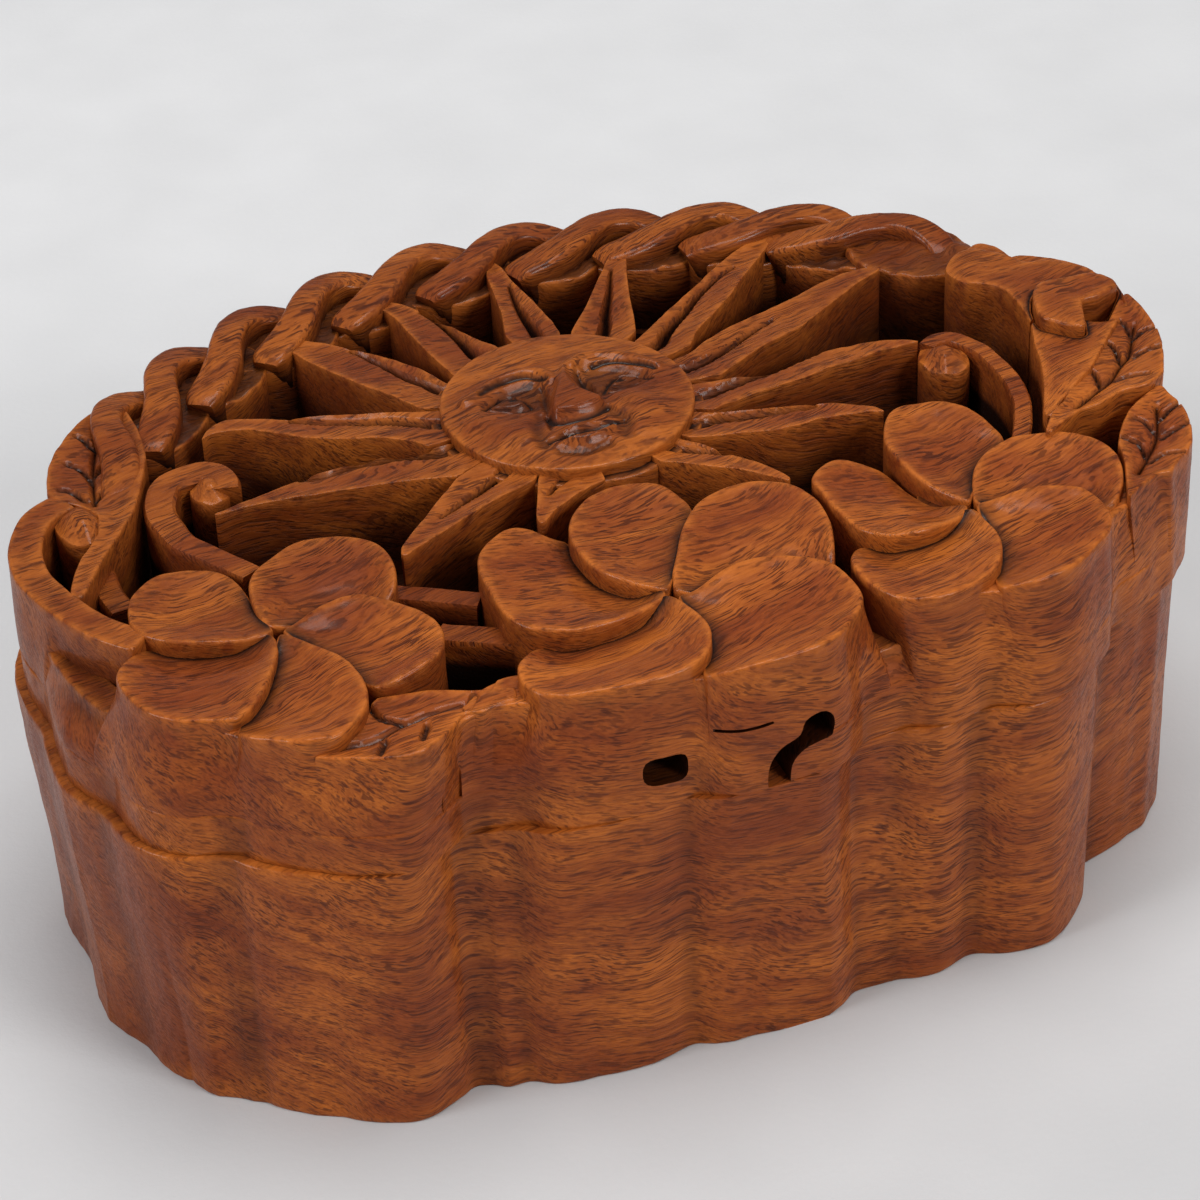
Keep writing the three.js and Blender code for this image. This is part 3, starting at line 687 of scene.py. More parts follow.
raysSeen = [
    {
        "edge": [
            (447, 383), (437, 377), (420, 368), (400, 361), (380, 355), (360, 350), (340, 346),
            (320, 342), (300, 340), (285, 341), (280, 344), (292, 352), (305, 360), (320, 367),
            (340, 376), (360, 384), (380, 391), (395, 397), (408, 403), (420, 408),
        ],
        "notch": [(350, 356), (362, 360), (380, 368), (400, 378), (420, 386), (442, 395)],
    },
    {
        "edge": [
            (496, 345), (480, 340), (460, 330), (440, 320), (420, 310), (400, 303), (388, 302),
            (372, 305), (385, 311), (395, 318), (408, 332), (420, 345), (432, 356), (445, 368),
            (455, 377),
        ],
        "notch": [(420, 317), (430, 322), (445, 332), (460, 344), (474, 358)],
    },
    {
        "edge": [
            (560, 332), (552, 320), (542, 310), (530, 297), (512, 280), (501, 266), (494, 262),
            (487, 266), (486, 275), (492, 290), (501, 312), (505, 335),
        ],
        "notch": [(509, 290), (516, 307), (525, 322), (536, 337)],
    },
    {
        "edge": [
            (636, 330), (634, 315), (630, 297), (627, 275), (626, 250), (620, 246), (613, 249),
            (605, 262), (594, 287), (585, 307), (577, 320), (571, 331),
        ],
        "notch": [(611, 273), (609, 297), (606, 315), (605, 332)],
    },
    {
        "edge": [
            (691, 344), (697, 330), (712, 315), (730, 295), (745, 274), (760, 256), (772, 239),
            (770, 235), (752, 240), (735, 250), (715, 266), (695, 285), (680, 299), (667, 310),
            (655, 322), (642, 334),
        ],
        "notch": [(734, 270), (717, 282), (700, 297), (685, 315), (667, 335), (661, 346)],
    },
    {
        "edge": [
            (721, 374), (740, 361), (760, 347), (780, 337), (800, 327), (820, 312), (840, 296),
            (860, 281), (880, 270), (880, 267), (862, 267), (840, 274), (817, 284), (795, 296),
            (772, 307), (745, 319), (722, 330), (705, 340), (690, 352),
        ],
        "notch": [(772, 324), (752, 335), (735, 347), (710, 362), (688, 372)],
    },
    {
        "edge": [
            (715, 409), (722, 405), (752, 394), (780, 385), (805, 377), (830, 367), (860, 358),
            (882, 350), (910, 343), (922, 341), (905, 339), (885, 340), (862, 342), (840, 347),
            (817, 352), (795, 359), (772, 367), (750, 373), (721, 379),
        ],
        "notch": [(850, 350), (825, 355), (795, 366), (772, 375), (740, 386), (702, 400)],
    },
    {
        "edge": [
            (690, 437), (720, 435), (745, 432), (772, 430), (800, 424), (820, 418), (840, 415),
            (867, 411), (887, 411), (875, 406), (855, 404), (830, 402), (802, 404), (780, 406),
            (750, 409), (715, 412),
        ],
        "notch": [(815, 411), (780, 416), (740, 422), (715, 424), (695, 429)],
    },
    {
        "edge": [
            (660, 461), (690, 463), (710, 466), (735, 468), (755, 472), (775, 477), (790, 481),
            (791, 477), (780, 471), (760, 462), (740, 456), (720, 449), (700, 442), (685, 439),
        ],
        "notch": [(735, 459), (700, 455), (672, 451)],
    },
    {
        "edge": [
            (538, 478), (537, 500), (536, 515), (539, 523), (545, 522), (555, 510), (567, 501),
            (580, 492), (592, 485), (606, 479),
        ],
        "notch": [(549, 498), (556, 490), (566, 481), (575, 474)],
    },
    {
        "edge": [
            (456, 478), (448, 488), (440, 497), (432, 507), (424, 518), (416, 527), (408, 537),
            (401, 547), (401, 556), (408, 555), (415, 549), (430, 540), (445, 530), (460, 521),
            (480, 508), (500, 497), (520, 487), (535, 480),
        ],
        "notch": [(441, 521), (460, 508), (475, 498), (490, 487), (502, 478)],
    },
    {
        "edge": [
            (430, 449), (400, 453), (380, 456), (360, 461), (340, 466), (320, 472), (300, 479),
            (280, 487), (260, 495), (240, 503), (225, 509), (213, 514), (214, 516), (230, 511),
            (250, 506), (272, 501), (300, 496), (320, 493), (340, 490), (360, 487), (380, 484),
            (400, 481), (420, 479), (440, 477), (458, 476),
        ],
        "notch": [
            (298, 486), (320, 482), (340, 476), (360, 470), (380, 466), (400, 462), (420, 460),
            (442, 458),
        ],
    },
    {
        "edge": [
            (423, 411), (400, 411), (380, 412), (360, 413), (340, 414), (320, 415), (300, 417),
            (280, 419), (260, 418), (240, 418), (225, 420), (213, 425), (205, 432), (200, 441),
            (210, 434), (225, 431), (245, 429), (265, 431), (285, 434), (300, 437), (320, 438),
            (340, 438), (360, 438), (380, 437), (400, 439), (415, 441), (427, 446),
        ],
        "notch": [(290, 426), (320, 427), (350, 427), (380, 426), (400, 426), (440, 429)],
    },
]
leavesSeen = [
    {
        "top": "leaf",
        "edge": [
            (113, 400), (100, 406), (88, 413), (75, 424), (65, 436), (55, 450), (48, 465), (46, 480),
            (47, 497), (60, 500), (80, 505), (98, 515), (98, 532), (90, 545), (82, 555), (75, 570),
            (71, 585), (70, 596), (78, 598), (84, 596), (92, 580), (100, 565), (105, 555),
            (113, 543), (120, 533), (128, 520), (134, 510), (138, 497), (142, 480), (144, 470),
            (146, 457), (145, 450), (142, 440), (138, 428), (130, 415), (125, 408),
        ],
        "rib": [(102, 405), (98, 425), (94, 445), (92, 462), (92, 480), (94, 500)],
        "veins": [
            [(93, 470), (100, 463), (108, 455), (118, 449), (128, 446)],
            [(97, 437), (102, 428), (110, 423), (116, 421)],
            [(95, 495), (103, 487), (112, 480), (122, 476), (128, 476)],
            [(93, 443), (88, 440), (82, 436), (76, 434)],
            [(92, 478), (86, 470), (78, 464), (66, 461)],
            [(84, 497), (76, 491), (68, 488), (60, 488)],
        ],
    },
    {
        "top": "frontLeaf", "valley": 0.35,
        "edge": [
            (313, 757), (345, 759), (370, 759), (402, 757), (425, 750), (447, 733), (465, 712),
            (480, 712), (500, 703), (518, 698), (516, 687), (474, 689), (430, 689), (376, 697),
            (369, 705), (360, 722), (345, 740), (325, 750),
        ],
        "rib": [(340, 748), (376, 737), (402, 723), (429, 712), (461, 703)],
        "veins": [
            [(367, 703), (380, 717), (402, 721)],
            [(385, 739), (380, 752)],
            [(427, 723), (423, 737)],
            [(474, 694), (467, 708)],
        ],
    },
    {
        "top": "crownLeaf",
        "edge": [
            (1128, 292), (1140, 303), (1150, 315), (1158, 327), (1162, 339), (1164, 353),
            (1164, 372), (1158, 376), (1150, 382), (1121, 390), (1102, 401), (1081, 408),
            (1067, 418), (1055, 427), (1052, 431), (1045, 430), (1052, 410), (1064, 399),
            (1071, 384), (1081, 370), (1090, 356), (1100, 339), (1107, 322), (1114, 308),
            (1120, 296), (1124, 293),
        ],
        "rib": [
            (1134, 320), (1132, 334), (1129, 349), (1120, 360), (1110, 375), (1090, 391), (1076, 403),
        ],
        "veins": [
            [(1134, 332), (1143, 327), (1154, 325)],
            [(1133, 351), (1145, 347), (1160, 345)],
            [(1115, 375), (1131, 371), (1149, 371)],
            [(1118, 318), (1126, 321), (1132, 332)],
            [(1107, 340), (1115, 345), (1120, 356)],
            [(1089, 368), (1095, 371), (1101, 382)],
        ],
    },
    {
        "top": "leaf",
        "edge": [
            (1163, 384), (1169, 391), (1180, 400), (1187, 410), (1192, 425), (1193, 439),
            (1189, 449), (1183, 455), (1176, 463), (1173, 470), (1160, 472), (1150, 479),
            (1140, 486), (1128, 498), (1126, 477), (1125, 463), (1121, 448), (1118, 444),
            (1119, 434), (1123, 420), (1129, 408), (1138, 399), (1156, 384),
        ],
        "rib": [(1157, 401), (1158, 418), (1156, 434), (1148, 451), (1138, 468)],
        "veins": [
            [(1134, 415), (1145, 418), (1155, 426)],
            [(1121, 435), (1132, 438), (1140, 440), (1146, 451)],
            [(1161, 413), (1169, 406), (1179, 401)],
            [(1162, 432), (1174, 426), (1186, 422)],
            [(1150, 456), (1164, 450), (1183, 450)],
        ],
    },
]
crownSeen = {
    "notch": (1098, 322),
    "fan": [
        (944, 283), (950, 274), (959, 268), (974, 265), (990, 268), (1005, 271), (1026, 279),
        (1045, 276), (1080, 283), (1115, 300), (1128, 318), (1112, 345), (1090, 385), (1064, 410),
        (1050, 425), (1043, 420), (1043, 401), (1042, 387), (1039, 372), (1033, 358), (1030, 339),
        (1019, 322), (1007, 309), (995, 303), (979, 300), (964, 299), (955, 294), (946, 288),
    ],
    "crest": [
        (1007, 257), (1017, 254), (1033, 255), (1052, 258), (1071, 262), (1086, 265), (1098, 271),
        (1086, 271), (1067, 275), (1048, 277), (1033, 278), (1026, 279), (1014, 274), (1009, 265),
    ],
    "bud": [
        (964, 249), (974, 242), (983, 241), (995, 244), (1005, 250), (1012, 256), (1013, 268),
        (1005, 270), (990, 266), (974, 263), (964, 258),
    ],
}
keySeen = [
    (1033, 289), (1036, 283), (1041, 279), (1052, 277), (1067, 274), (1086, 270), (1102, 271),
    (1113, 276), (1118, 282), (1109, 288), (1098, 293), (1082, 297), (1083, 305), (1085, 316),
    (1086, 322), (1078, 324), (1064, 321), (1052, 318), (1043, 316), (1037, 310), (1033, 299),
]
knobs = [
    {"top": "scroll", "at": (80, 517), "half": (3.4, 5.0)},
    {"top": "curl", "at": (209, 484), "half": (2.6, 3.2)},
    {"top": "curl", "at": (944, 352), "half": (3.4, 4.0)},
]

# Flat bands at the left end, with their tops and half widths in millimetres
bands = [
    {
        "top": 58.1, "half": 2.2, "flow": 2.6,
        "route": [
            (66, 500), (50, 508), (35, 520), (27, 537), (25, 555), (32, 575), (48, 592), (68, 608),
            (92, 622), (118, 633), (142, 640),
        ],
    },
    {
        "top": 52.2, "half": 2.1, "flow": 9.0,
        "route": [(50, 622), (58, 636), (72, 660), (89, 681), (112, 701), (128, 709)],
    },
]

# The oval behind the carving, the oval recess and the rope's oval, in plan units
boxOval = {"x": 0, "y": 0, "halfLong": 93, "halfWide": 61.5, "power": 2.25}
boardOval = {"x": -6, "y": 0, "halfLong": 84.5, "halfWide": 55, "power": 2.3}
ropeShape = {
    "x": 2, "y": 0, "halfLong": 88, "halfWide": 66.5, "strands": 10, "start": 141, "end": 36,
    "bumpLong": 12, "bumpWide": 9.2, "bumpSink": 0.4, "lastRise": 0.9, "strandTop": 57.2, "stainAndShadeTop": 56.8,
}
wallRounds = [
    {"x": 86, "y": 9, "long": 16, "wide": 11.5, "turn": -52},
    {"x": 83.6, "y": 27.2, "long": 5.6, "wide": 4, "turn": 70},
]
rimPetals = ((0, 1), (0, 2), (1, 2), (1, 3), (2, 2), (2, 3), (2, 4))
joinery = {
    "wall": 10.5, "ledge": 3.0, "floor": 4.0, "rim": 5.5, "boss": 8.0, "gap": 0.3,
    "post": 4.0, "collar": 6.0, "collarThick": 4.0, "peg": 2.2, "socket": 8.0, "pegAt": (86.2, 4),
    "lidOver": 1.6, "sawCut": 0.5, "postDeep": 12,
}
petalLoops = [[softened(seen(edge, topOf("petal"))) for edge in flower] for flower in petalSeen]
leafLoops = [softened(seen(leaf["edge"], topOf(leaf["top"])), 0.5, 1) for leaf in leavesSeen]
keyLoop = softened(seen(keySeen, 61.5), 0.35, 1)


def bandLoop(band):
    line = resample(spline(seen(band["route"], band["top"]), 60), 0.5, False)
    along = np.gradient(line, axis=0)
    along /= np.linalg.norm(along, axis=1)[:, None]
    side = band["half"] * np.stack([along[:, 1], -along[:, 0]], 1)
    return softened(np.vstack([line + side, (line - side)[::-1]]), 0.4, 1)


def ropePlaces():
    found = []
    for k in range(ropeShape["strands"]):
        share = k / (ropeShape["strands"] - 1)
        angle = math.radians(ropeShape["start"] + (ropeShape["end"] - ropeShape["start"]) * share)
        along = math.atan2(-ropeShape["halfWide"] * math.cos(angle), ropeShape["halfLong"] * math.sin(angle))
        found.append((
            ropeShape["x"] + ropeShape["halfLong"] * math.cos(angle),
            ropeShape["y"] + ropeShape["halfWide"] * math.sin(angle), math.degrees(along)))
    return found


# How far the wall stands out from the rims of the carving by the time it reaches the seam
wallFlare = {
    "degrees": (
        -180, -175, -167, -160, -151, -147, -137, -130, -125, -113, -100, -90, -75, -64, -52, -40,
        -33, -26, 0, 90, 176,
    ),
    "out": (
        0.5, 0.9, 3.2, 2.6, 3.0, 1.2, 1.7, 1.3, 2.4, 2.0, 1.2, 1.0, 1.5, 2.1, 1.3, 0.5, 1.5, 0.2, 0,
        0, 0.4,
    ),
}
wallMiddle = place((0, 0))


def wallOutlines(steps=1500, soften=0.8, roll=5.0):
    # the box is sawn along the outermost carving: the outline at its rims, and the wall's lower down
    loops = [oval(boxOval)] + [petalLoops[i][k] for i, k in rimPetals] + leafLoops
    loops += [bandLoop(band) for band in bands]
    loops += [ellipse(**r) for r in wallRounds]
    bump = ropeShape["bumpLong"], ropeShape["bumpWide"]
    loops += [ellipse(x, y, *bump, turn) for x, y, turn in ropePlaces()]
    angle = np.linspace(0, 2 * math.pi, steps, endpoint=False)
    ray = np.stack([np.cos(angle), np.sin(angle)], 1)
    reach = np.zeros(steps)
    for loop in loops:
        a = loop - wallMiddle
        d = np.roll(a, -1, 0) - a
        turned = ray[:, None, 0] * d[None, :, 1] - ray[:, None, 1] * d[None, :, 0]
        with np.errstate(divide="ignore", invalid="ignore"):
            far = (a[None, :, 0] * d[None, :, 1] - a[None, :, 1] * d[None, :, 0]) / turned
            part = (a[None, :, 0] * ray[:, None, 1] - a[None, :, 1] * ray[:, None, 0]) / turned
        good = (part >= 0) & (part <= 1) & (far > 0)
        reach = np.maximum(reach, np.where(good, far, 0).max(1))
    # a circle rolled along the outside rounds the grooves
    step = 2 * math.pi * 66 / steps
    span = int(roll / step)
    offsets = np.arange(-span, span + 1)
    cap = np.sqrt(np.maximum(roll**2 - (offsets * step) ** 2, 0))
    grown = np.max([np.roll(reach, k) + cap[k + span] for k in offsets], 0)
    reach = np.min([np.roll(grown, k) - cap[k + span] for k in offsets], 0)
    width = soften / step
    kernel = np.exp(-0.5 * (np.arange(-24, 25) / width) ** 2)
    soft = np.convolve(np.r_[reach[-24:], reach, reach[:24]], kernel / kernel.sum(), "valid")
    degrees = (np.degrees(angle) + 180) % 360 - 180
    out = np.interp(degrees, wallFlare["degrees"], wallFlare["out"], period=360)
    low, high = np.array(cadBox)[:, :2] / mm
    rims = np.minimum(soft, reach + 0.15)
    return [np.clip(wallMiddle + far[:, None] * ray, low + 0.25, high - 0.25) for far in (rims, rims + out)]


rimLoop, wallLoop = wallOutlines()


def wallGap(xy):
    # how far a plan point lies inside the outer wall, and its direction from the middle
    away = np.asarray(xy, float) - wallMiddle
    reach = np.hypot(away[:, 0], away[:, 1])
    loop = wallLoop - wallMiddle
    angles = np.arctan2(loop[:, 1], loop[:, 0])
    order = np.argsort(angles)
    wall = np.interp(np.arctan2(away[:, 1], away[:, 0]), angles[order],
                     np.hypot(loop[:, 0], loop[:, 1])[order], period=2 * math.pi)
    return wall - reach, away / np.maximum(reach, 1e-6)[:, None]


print("outer wall worked out")


def wallRows(carving, loop, levels, insets, rims):
    normal = outward(loop)
    bulge = np.sum(normal * (loop - (np.roll(loop, 10, 0) + np.roll(loop, -10, 0)) / 2), 1)
    # the hollows between the wall's columns get stain and painted shade
    grooves = 0.34 * np.clip((-bulge - 0.1) / 0.5, 0, 1)
    rows = []
    for z, inset, rim in zip(levels, insets, rims):
        push = wallWobble(loop, z) - inset
        stainAndShade = grooves * (0.55 + 0.35 * wobble(loop[:, 0], loop[:, 1] + z, 16, 12))
        spots = np.column_stack([loop + push[:, None] * normal, np.full(len(loop), z)])
        rows.append(carving.add(spots, rim, np.clip(stainAndShade, 0, 1)))
    for upper, lower in zip(rows, rows[1:]):
        carving.strip(upper, lower)
    return rows


def levelsOf(top, bottom, edge, count):
    middle = np.linspace(top - edge, bottom + edge, count)
    levels = np.r_[top, top - 0.3 * edge, middle, bottom + 0.3 * edge, bottom]
    insets = np.r_[edge, 0.35 * edge, np.zeros(count), 0.35 * edge, edge]
    # wall rows near the top and the foot are paler: wear, partly a painted highlight
    wearAndHighlight = np.exp(-(top - middle) / 1.5) * 0.6 + np.exp(-(middle - bottom) / 1.5) * 0.4
    rims = np.r_[0.8, 0.7, wearAndHighlight, 0.5, 0.3]
    return levels, insets, rims


def seamOpen(loop):
    # the seam shows all round but along the front, where its edges stay sharp
    x, y = (loop - wallMiddle).T
    front = smoothStep(-58, -50, x) * smoothStep(22, 14, x) * smoothStep(-20, -35, y)
    return 1 - 0.85 * front


def ring(carving, loop, z, rim=0.0):
    return carving.add(np.column_stack([loop, np.full(len(loop), z)]), rim)


def bossed(loop, centre, radius):
    # an oval hollow that leaves the boss round the post standing
    away = loop - centre
    close = np.linalg.norm(away, axis=1)
    inwards = wallMiddle - centre
    facing = np.arctan2(inwards[1], inwards[0])
    covered = close < radius * 1.02
    if not covered.any():
        return loop
    first = np.where(covered & ~np.roll(covered, 1))[0][0]
    loop, covered = np.roll(loop, -first, 0), np.roll(covered, -first)
    last = np.where(covered & ~np.roll(covered, -1))[0][0]
    a, b = loop[0] - centre, loop[last] - centre
    startAngle, endAngle = math.atan2(a[1], a[0]), math.atan2(b[1], b[0])
    sweep = (endAngle - startAngle) % (2 * math.pi)
    if math.cos(startAngle + sweep / 2 - facing) < 0:
        sweep -= 2 * math.pi
    angles = startAngle + sweep * np.linspace(0, 1, 30)
    arc = centre + radius * np.stack([np.cos(angles), np.sin(angles)], 1)
    return np.vstack([arc, loop[last + 1:]])


def tube(carving, upper, lower):
    carving.strip(upper[::-1], lower[::-1])


# Cuts through the front wall, read in millimetres along it and up it
wallCuts = {
    "slot": {
        "deep": 5.0,
        "edge": [
            (-16.8, 46.9), (-15.9, 47.8), (-13.6, 47.6), (-11.8, 47.3), (-10.9, 46.5), (-10.7, 44.1),
            (-11.5, 43.2), (-13.6, 43.5), (-15.6, 43.9), (-16.7, 44.9),
        ],
    },
    "crook": {
        "deep": 5.0,
        "edge": [
            (3.9, 48.6), (6.2, 49.3), (7.6, 48.0), (7.4, 45.7), (5.6, 45.0), (3.6, 44.3),
            (2.2, 42.8), (1.8, 40.6), (1.7, 38.9), (-0.6, 38.7), (-1.2, 40.4), (-0.9, 43.2),
            (0.6, 45.4), (3.0, 46.6),
        ],
    },
    "step": {
        "deep": 0.5,
        "edge": [
            (-13.4, 50.1), (-12.0, 50.5), (-4.0, 49.7), (-0.5, 49.8), (-0.5, 49.4), (-4.0, 49.3),
            (-12.0, 50.1),
        ],
    },
}


def wallCutter():
    c = Carving()
    behindWall = shift[1] - 48.0
    for cut in wallCuts.values():
        edge = turnedLeft(resample(spline(np.array(cut["edge"]) + (shift[0], 0), 90, True), 0.7))
        gap, _ = wallGap(np.stack([edge[:, 0], np.full(len(edge), behindWall)], 1))
        front = behindWall - np.median(gap)
        far = c.add([(x, front - 6, z) for x, z in edge], 0, 1)
        near = c.add([(x, front + cut["deep"], z) for x, z in edge], 0, 1)
        c.strip(far, near)
        c.faces += [tuple(far), tuple(near[::-1])]
    mesh = bpy.data.meshes.new("wall_cuts")
    mesh.from_pydata([(x * mm, y * mm, z * mm) for x, y, z in c.points], [], c.faces)
    # the sides of the cuts into the wall are darkened fully: stain and painted shade
    full = [1.0] * len(c.points)
    marked(mesh, {"rim": c.rim, "cut": full, "deep": full})
    mesh.materials.append(boardWood)
    return linked("wall_cuts", mesh)


def sawn(thing, cutter):
    # takes the cutter's shapes out of a piece
    modifier = thing.modifiers.new("saw", "BOOLEAN")
    modifier.operation, modifier.solver, modifier.object = "DIFFERENCE", "EXACT", cutter
    modifier.material_mode, modifier.use_self = "TRANSFER", True
    mesh = evaluated(thing)
    thing.modifiers.clear()
    thing.data = mesh
    mesh.set_sharp_from_angle(angle=math.radians(42))


wallSaw = wallCutter()

postAt = place(plan["post"])
pegAt = place(joinery["pegAt"])

# The base was cut back a little towards its foot, most at the two front corners
baseTrim = {
    "degrees": (
        -180, -174, -166, -160, -155, -149, -140, -131, -126, -115, -108, -100, -94, -87, -81, -71,
        -60, -53, -46, -39, -33, -26, 0, 90, 178,
    ),
    "inset": (
        1.8, 1.8, 1.9, 1.8, 3.0, 0.2, 1.0, -0.3, -2.2, -0.5, -0.9, 0.1, 0.2, -0.7, -0.8, -1.5, -0.4,
        -1.2, -0.7, 0.6, -0.2, 0, 0.3, 0.3, 1.8,
    ),
}


def baseShell():
    c = Carving()
    floor, seam = joinery["floor"], plan["seam"]
    lipFrom, rubbedFrom = seam - 2, seam - 4
    outer = wallLoop - np.array([joinery["lidOver"], 0])
    levels, insets, rims = levelsOf(seam, 0.0, 0.32, 54)
    away = outer - wallMiddle
    trim = np.interp(np.degrees(np.arctan2(away[:, 1], away[:, 0])), baseTrim["degrees"], baseTrim["inset"],
                     period=360)
    atSeam = seamOpen(outer)
    insets = [inset * (atSeam if z > lipFrom else 1) + trim * (0.15 + 0.85 * smoothStep(seam, floor, z))
              for z, inset in zip(levels, insets)]
    rims = [rim * (atSeam if z > rubbedFrom else 1) for z, rim in zip(levels, rims)]
    rows = wallRows(c, outer, levels, insets, rims)
    hollow = bossed(oval(boxOval, joinery["wall"]), postAt, joinery["boss"])
    ledge = oval(boxOval, joinery["wall"] - joinery["ledge"])
    inner = [ring(c, hollow, z, 0.5 if z > lipFrom else 0)
             for z in (seam, seam - 0.4, *np.linspace(rubbedFrom, floor + 2, 9), floor)]
    for upper, lower in zip(inner, inner[1:]):
        tube(c, upper, lower)
    shelf, under = ring(c, ledge, floor), ring(c, ledge, 0.0)
    post = circle(postAt, joinery["post"] + joinery["gap"])
    collar = circle(postAt, joinery["collar"] + joinery["gap"])
    deep = floor + joinery["collarThick"] + 2 * joinery["gap"]
    postTop, postLow = ring(c, post, seam), ring(c, post, deep)
    collarTop, collarLow = ring(c, collar, deep), ring(c, collar, 0.0)
    peg = circle(pegAt, joinery["peg"] + joinery["gap"], 32)
    pegTop, pegLow = ring(c, peg, seam), ring(c, peg, seam - joinery["socket"])
    c.fill([rows[0], inner[0], postTop, pegTop], seam)
    c.fill([shelf, inner[-1]], floor, True)
    tube(c, shelf, under)
    c.fill([rows[-1], under, collarLow], 0.0, True)
    tube(c, postTop, postLow)
    c.fill([collarTop, postLow], deep, True)
    tube(c, collarTop, collarLow)
    tube(c, pegTop, pegLow)
    c.fill([pegLow], seam - joinery["socket"])
    shell = c.piece("base_shell", "base", baseWood)
    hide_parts("base_wall")


baseShell()
print("base made")


def lidHoop():
    c = Carving()
    top, seam, boardTop = plan["hoopTop"], plan["seam"], plan["boardTop"]
    levels, insets, rims = levelsOf(top, seam, 0.22, 12)
    atSeam = seamOpen(wallLoop)
    insets = [inset * (atSeam if z < boardTop else 1) for z, inset in zip(levels, insets)]
    rims = [rim * atSeam for rim in rims]
    rows = wallRows(c, wallLoop, levels, insets, rims)
    hollow = oval(boxOval, joinery["rim"])
    recess = bossed(oval(boardOval), postAt, joinery["boss"])
    inner = [ring(c, hollow, z) for z in (top, boardTop)]
    tube(c, *inner)
    c.fill([rows[0], inner[0]], top)
    recessLow, recessTop = ring(c, recess, seam), ring(c, recess, boardTop)
    tube(c, recessTop, recessLow)
    # the hollow and the recess cross, so each gets the ledge that it has over the other
    c.fill([inner[1], recessTop], boardTop)
    c.fill([recessTop, inner[1]], boardTop, True)
    post = circle(postAt, joinery["post"] + joinery["gap"])
    postLow, postTop = ring(c, post, seam), ring(c, post, seam + joinery["postDeep"])
    c.fill([rows[-1], recessLow, postLow], seam, True)
    tube(c, postTop, postLow)
    c.fill([postTop], seam + joinery["postDeep"], True)
    return c.piece("lid_hoop", "lid", topWood)


hoop = lidHoop()
sawn(hoop, wallSaw)
print("lid hoop made")

petalLook = {
    "dish": 0.6, "dishReach": 6, "lip": 0.35, "lipReach": 2.2, "lapWide": 9.5, "lapStainAndShade": 1.1,
    "heartDeep": 0.6, "heartReach": 5, "heartHalf": 9, "grid": 0.6, "edge": 0.35, "rows": 14,
}
# how far each petal sinks, in millimetres, where the one before it laps over it
petalSinks = [(1.2, 2.2, 1.6, 1.3, 1.9), (1.2, 2.6, 2.8, 1.6, 1.8), (1.2, 3.2, 2.4, 1.6, 1.8)]


def petalBlock(c, number, k):
    flower = petalLoops[number]
    own, over = flower[k], flower[k - 1]
    heart = seen([hearts[number]], topOf("petal"))[0]
    sink = petalSinks[number][k]
    rim = (number, k) in rimPetals

    def height(x, y):
        xy = np.stack([x, y], 1)
        under = inside(xy, over)
        away = np.where(under, 0, distance(xy, over, True))
        fromEdge = distance(xy, own, True)
        fromHeart = np.hypot(x - heart[0], y - heart[1])
        lap = (1 - np.clip(away / petalLook["lapWide"], 0, 1)) ** 2
        z = topOf("petal") + petalLook["lip"] * np.exp(-fromEdge / petalLook["lipReach"])
        z -= petalLook["dish"] * smoothStep(0, petalLook["dishReach"], fromEdge)
        z -= sink * lap * smoothStep(0, petalLook["dishReach"], fromHeart)
        z -= petalLook["heartDeep"] * smoothStep(petalLook["heartReach"], 0, fromHeart)
        z += 0.08 * wobble(x, y, 7, 20 + 5 * number + k) + 0.03 * wobble(x, y, 2.4, 50 + 5 * number + k)
        # stain and painted shade where the petal before laps over this one
        return z, 0.95 * np.exp(-away / petalLook["lapStainAndShade"])

    bottom = plan["inHoop"] if rim else plan["inBoard"]
    c.block(own, height, bottom, grid=petalLook["grid"], edge=petalLook["edge"], rows=petalLook["rows"],
            rough=1.0 if rim else 1.4, flow=plan["flow"] if rim else 0.0)


def flatBlock(c, outline, top, bottom, seed, rows=8, grid=0.6, flow=0.0, stainAndShade=0.0, edge=0.3):
    def height(x, y):
        return top + 0.12 * wobble(x, y, 8, seed) + 0.04 * wobble(x, y, 2.6, seed + 1), stainAndShade + 0 * x

    c.block(outline, height, bottom, grid=grid, edge=edge, rows=rows, flow=flow)


# Low ground between the outermost forms, along the wall: where it is, its reach and its top
frontBank = 2
banks = [
    {"at": (238, 728), "reach": 7, "top": 56.6},
    {"at": (340, 745), "reach": 7, "top": 55.4},
    {"at": (703, 673), "reach": 8, "top": 56.4},
    {"at": (862, 604), "reach": 8, "top": 51.5},
    {"at": (992, 592), "reach": 7, "top": 56.6},
    {"at": (1114, 510), "reach": 9, "top": 56.4},
    {"at": (521, 702), "reach": 5, "top": 56.2},
    {"at": (468, 718), "reach": 5, "top": 56.0},
]


def bankBlock(c, number):
    bank = banks[number]
    spot = seen([bank["at"]], bank["top"])[0]
    middle = int(np.argmin(np.hypot(*(rimLoop - spot).T)))
    loop = np.roll(rimLoop, len(rimLoop) // 2 - middle, 0)
    part = loop[np.hypot(*(loop - loop[len(loop) // 2]).T) < bank["reach"]]
    away = part - wallMiddle
    away /= np.linalg.norm(away, axis=1)[:, None]
    outline = np.vstack([part - 0.3 * away, (part - 6.5 * away)[::-1]])
    flatBlock(c, outline, bank["top"], plan["inHoop"], 300 + number, rows=14, flow=plan["flow"])


